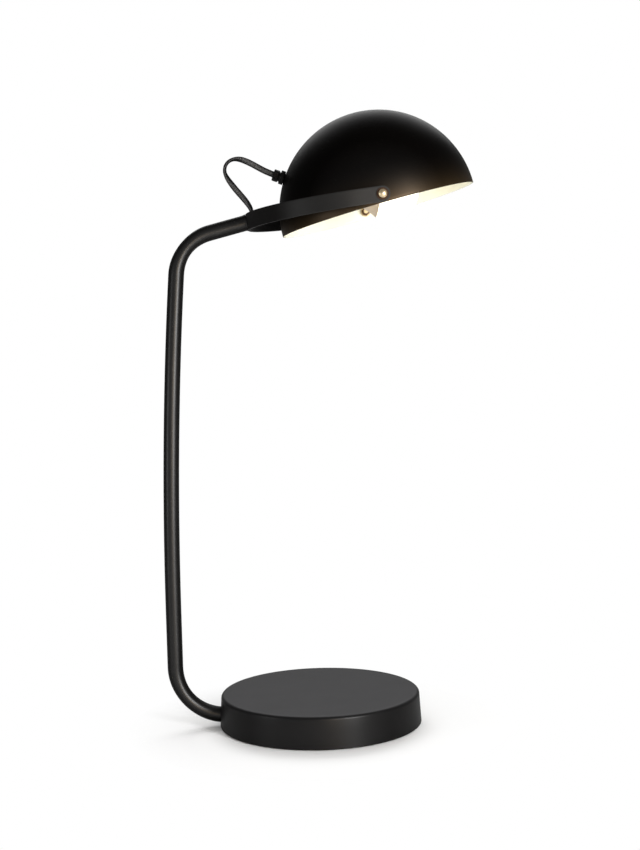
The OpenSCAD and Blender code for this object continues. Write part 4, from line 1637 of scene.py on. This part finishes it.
@dataclass
class Flex(SubAssembly):
    """The free twin flex from the grip to the yoke's root, as routed in the part's source."""

    width: float = 6.2
    thick: float = 3.7
    waist: float = 0.06
    lay_mm: float = 1.5
    sides: int = 28
    steps: int = 6
    route: tuple[Point3, ...] = (
        (-99.0, 30.8, 10), (-108.7, 35.1, 0), (-115.3, 38.7, 0),
        (-121.3, 42.1, 5), (-127.4, 45.1, 15), (-133.5, 47.2, 40),
        (-139.8, 47.4, 75), (-145.1, 45.1, 90), (-148.4, 40.7, 90),
        (-149.1, 34.9, 80), (-146.8, 28.9, 50), (-142.8, 22.8, 25),
        (-138.2, 16.7, 10), (-133.1, 10.6, 10), (-128.3, 4.5, 25),
        (-124.5, -1.6, 50), (-123.0, -7.2, 80), (-123.5, -11.3, 90),
        (-125.5, -14.9, 90), (-128.7, -17.6, 90), (-131.8, -18.8, 90),
    )

    def line(self) -> list[Point3]:
        """Points along the route, in metres, with the roll in degrees.

        Returns:
            The points.
        """
        last = len(self.route) - 1
        pivot = PLAN.pivot()

        def at(i: int) -> Point3:
            """A point of the route, with the ends repeated."""
            x, z, roll = self.route[min(max(i, 0), last)]
            return ((pivot.x + x) * MM, (pivot.z + z) * MM, roll)

        def between(a: float, b: float, c: float, d: float, t: float) -> float:
            """The smooth curve through four values, at a share t of the way from b to c."""
            bend = (2 * a - 5 * b + 4 * c - d) * t * t + (3 * b - a - 3 * c + d) * t**3
            return 0.5 * (2 * b + (c - a) * t + bend)

        points: list[Point3] = []
        for i in range(last):
            near = [at(i + k) for k in (-1, 0, 1, 2)]
            for s in range(self.steps):
                points.append(tuple(between(*values, s / self.steps) for values in zip(*near)))
        return points + [at(last)]

    def tube(self, line: Sequence[Point3]) -> Piece:
        """The flex's mesh, with a UV map for the braid.

        Args:
            line: Points with their roll.

        Returns:
            The tube.
        """
        rings: list[Point3] = []
        along = [0.0]
        for i, (x, z, roll) in enumerate(line):
            before, after = line[max(i - 1, 0)], line[min(i + 1, len(line) - 1)]
            ahead = Vector((after[0] - before[0], 0, after[1] - before[1])).normalized()
            plane = Vector((-ahead.z, 0, ahead.x))
            turn = math.radians(roll)
            if i:
                along.append(along[-1] + math.hypot(x - line[i - 1][0], z - line[i - 1][1]))
            for k in range(self.sides):
                angle = FULL_TURN * k / self.sides
                # two cores under one braid: a waist halfway along each broad side
                waist = 1 - self.waist * abs(math.sin(angle)) ** 6
                w = self.width / 2 * MM * math.cos(angle)
                t = self.thick / 2 * MM * math.sin(angle) * waist
                inside = w * math.cos(turn) - t * math.sin(turn)
                across = w * math.sin(turn) + t * math.cos(turn)
                rings.append((x + plane.x * inside, across, z + plane.z * inside))
        faces: list[tuple[int, ...]] = []
        uvs: list[Point2] = []
        for i in range(len(line) - 1):
            for k in range(self.sides):
                n = (k + 1) % self.sides
                a, b = i * self.sides + k, i * self.sides + n
                faces.append((a, b, b + self.sides, a + self.sides))
                v0, v1 = k / self.sides, (k + 1) / self.sides
                u0, u1 = (along[j] / (self.lay_mm * MM) for j in (i, i + 1))
                uvs += [(u0, v0), (u0, v1), (u1, v1), (u1, v0)]
        faces.append(tuple(reversed(range(self.sides))))
        faces.append(tuple((len(line) - 1) * self.sides + k for k in range(self.sides)))
        uvs += [(0.0, k / self.sides) for k in range(self.sides)] * 2
        mesh = bpy.data.meshes.new("flex")
        mesh.from_pydata(rings, [], faces)
        layer = mesh.uv_layers.new(name="braid")
        for loop, uv in zip(layer.data, uvs):
            loop.uv = uv
        mesh.update()
        obj = bpy.data.objects.new("flex", mesh)
        bpy.context.collection.objects.link(obj)
        return obj

    def build(self) -> None:
        """Models the flex, which runs between the shade and the stand."""
        line = self.line()
        flex = self.tube(line)
        smoothed(flex, 60)
        flex.data.materials.append(Finish.FLEX.material())
        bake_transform(flex)
        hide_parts("flex_loop")


# ---------------------------------------------------------------- studio


@dataclass
class Studio:
    """The camera at the photograph's angle, the floor and the lights."""

    eye: Point3 = (-0.058276, -1.453318, 0.406074)
    yaw: float = 0.0449
    pitch: float = -0.0671
    roll: float = 0.0263
    focal_px: float = 1425.1
    frame_px: float = 850.0
    sky: float = 0.36
    floor_radius: float = 0.1
    floor_fade: float = 0.1

    def camera(self) -> None:
        """Places the camera."""
        level = math.cos(self.pitch)
        ahead = Vector((math.sin(self.yaw) * level, math.cos(self.yaw) * level, math.sin(self.pitch)))
        right = Vector((math.cos(self.yaw), -math.sin(self.yaw), 0))
        up = right.cross(ahead)
        c, s = math.cos(self.roll), math.sin(self.roll)
        tilted_right = c * right - s * up
        tilted_up = s * right + c * up
        data = bpy.data.cameras.new("camera")
        data.sensor_width = 36.0
        data.lens = data.sensor_width * self.focal_px / self.frame_px
        camera = bpy.data.objects.new("camera", data)
        bpy.context.collection.objects.link(camera)
        turn = Matrix((tilted_right, tilted_up, -ahead)).transposed()
        camera.matrix_world = Matrix.Translation(self.eye) @ turn.to_4x4()
        bpy.context.scene.camera = camera

    @staticmethod
    def lamp(
        name: str,
        place: Sequence[float],
        aim: Sequence[float],
        size: Point2,
        watts: float,
        tint: Sequence[float] = (1, 1, 1),
    ) -> None:
        """Adds one softbox.

        Args:
            name: The lamp's name.
            place: Where it stands, in metres.
            aim: What it points at.
            size: Its width and height in metres.
            watts: Its power.
            tint: Its colour.
        """
        data = bpy.data.lights.new(name, "AREA")
        data.color = tint
        data.shape = "RECTANGLE"
        data.size, data.size_y = size
        data.energy = watts
        lamp = bpy.data.objects.new(name, data)
        bpy.context.collection.objects.link(lamp)
        lamp.location = place
        lamp.rotation_euler = (Vector(aim) - Vector(place)).to_track_quat("-Z", "Y").to_euler()

    @staticmethod
    def white_rays(g: Graph) -> Socket:
        """Tells the rays that see the surround in plain white.

        Args:
            g: The tree.

        Returns:
            1 for camera and transmission rays, else 0.
        """
        names = ("Is Camera Ray", "Is Transmission Ray")
        camera, through = (g.node("ShaderNodeLightPath", output=name) for name in names)
        return camera.highest(through)

    def floor(self) -> None:
        """Adds the pale floor, which runs out into the white surround."""
        obj = primitive("floor", "plane", size=40)
        g = Graph("pale_floor")
        tone = g.noise(900)
        paint = g.gloss(
            {
                "Base Color": g.blend_colour(tone, (0.91, 0.91, 0.91, 1), (0.93, 0.93, 0.93, 1)),
                "Roughness": 0.9,
                "Specular IOR Level": 0.1,
            }
        )
        radius = g.vector("LENGTH", g.coordinates())
        far = ((radius - self.floor_radius) / self.floor_fade).clamped()
        glow = g.node("ShaderNodeEmission", {}, {"Color": WHITE, "Strength": 1.0})
        g.surface(g.mix(far * self.white_rays(g), paint, glow))
        obj.data.materials.append(g.material)

    def world(self) -> None:
        """A surround that is white to the camera and dimmer as a light on the lamp."""
        world = bpy.data.worlds.new("studio")
        bpy.context.scene.world = world
        g = Graph("studio", world)
        light, seen = (
            g.node("ShaderNodeBackground", {}, {"Color": WHITE, "Strength": strength})
            for strength in (self.sky, 1.0)
        )
        g.surface(g.mix(self.white_rays(g), light, seen))

    def build(self) -> None:
        """Sets up the whole studio."""
        bpy.context.scene.view_settings.view_transform = "Standard"
        self.camera()
        self.floor()
        self.world()
        self.lamp("key", (0.95, -1.42, 0.55), (0, 0, 0.4), (0.3, 1.1), 34)
        self.lamp("warm", (0.5, -1.75, 0.26), (0, 0, 0.4), (0.5, 0.4), 5.5, (1, 0.75, 0.48))
        self.lamp("fill", (-1.55, -0.75, 0.28), (0, 0, 0.25), (0.25, 0.5), 6)
        self.lamp("back", (0.1, 1.7, 1.75), (0, 0, 0.2), (2.0, 1.1), 36)


def main() -> None:
    """Builds the lamp and its studio."""
    logging.basicConfig(level=logging.INFO, format="%(name)s %(message)s")
    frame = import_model()
    Studio().build()
    Flex(frame, Body.SHADE).build()
    for group in (Base, Stem, Yoke):
        group(frame, Body.STAND).build()
    for group in (Pivots, Shade, Grip, Lampholder, Bulb):
        group(frame, Body.SHADE).build()


if __name__ == "__main__":
    main()
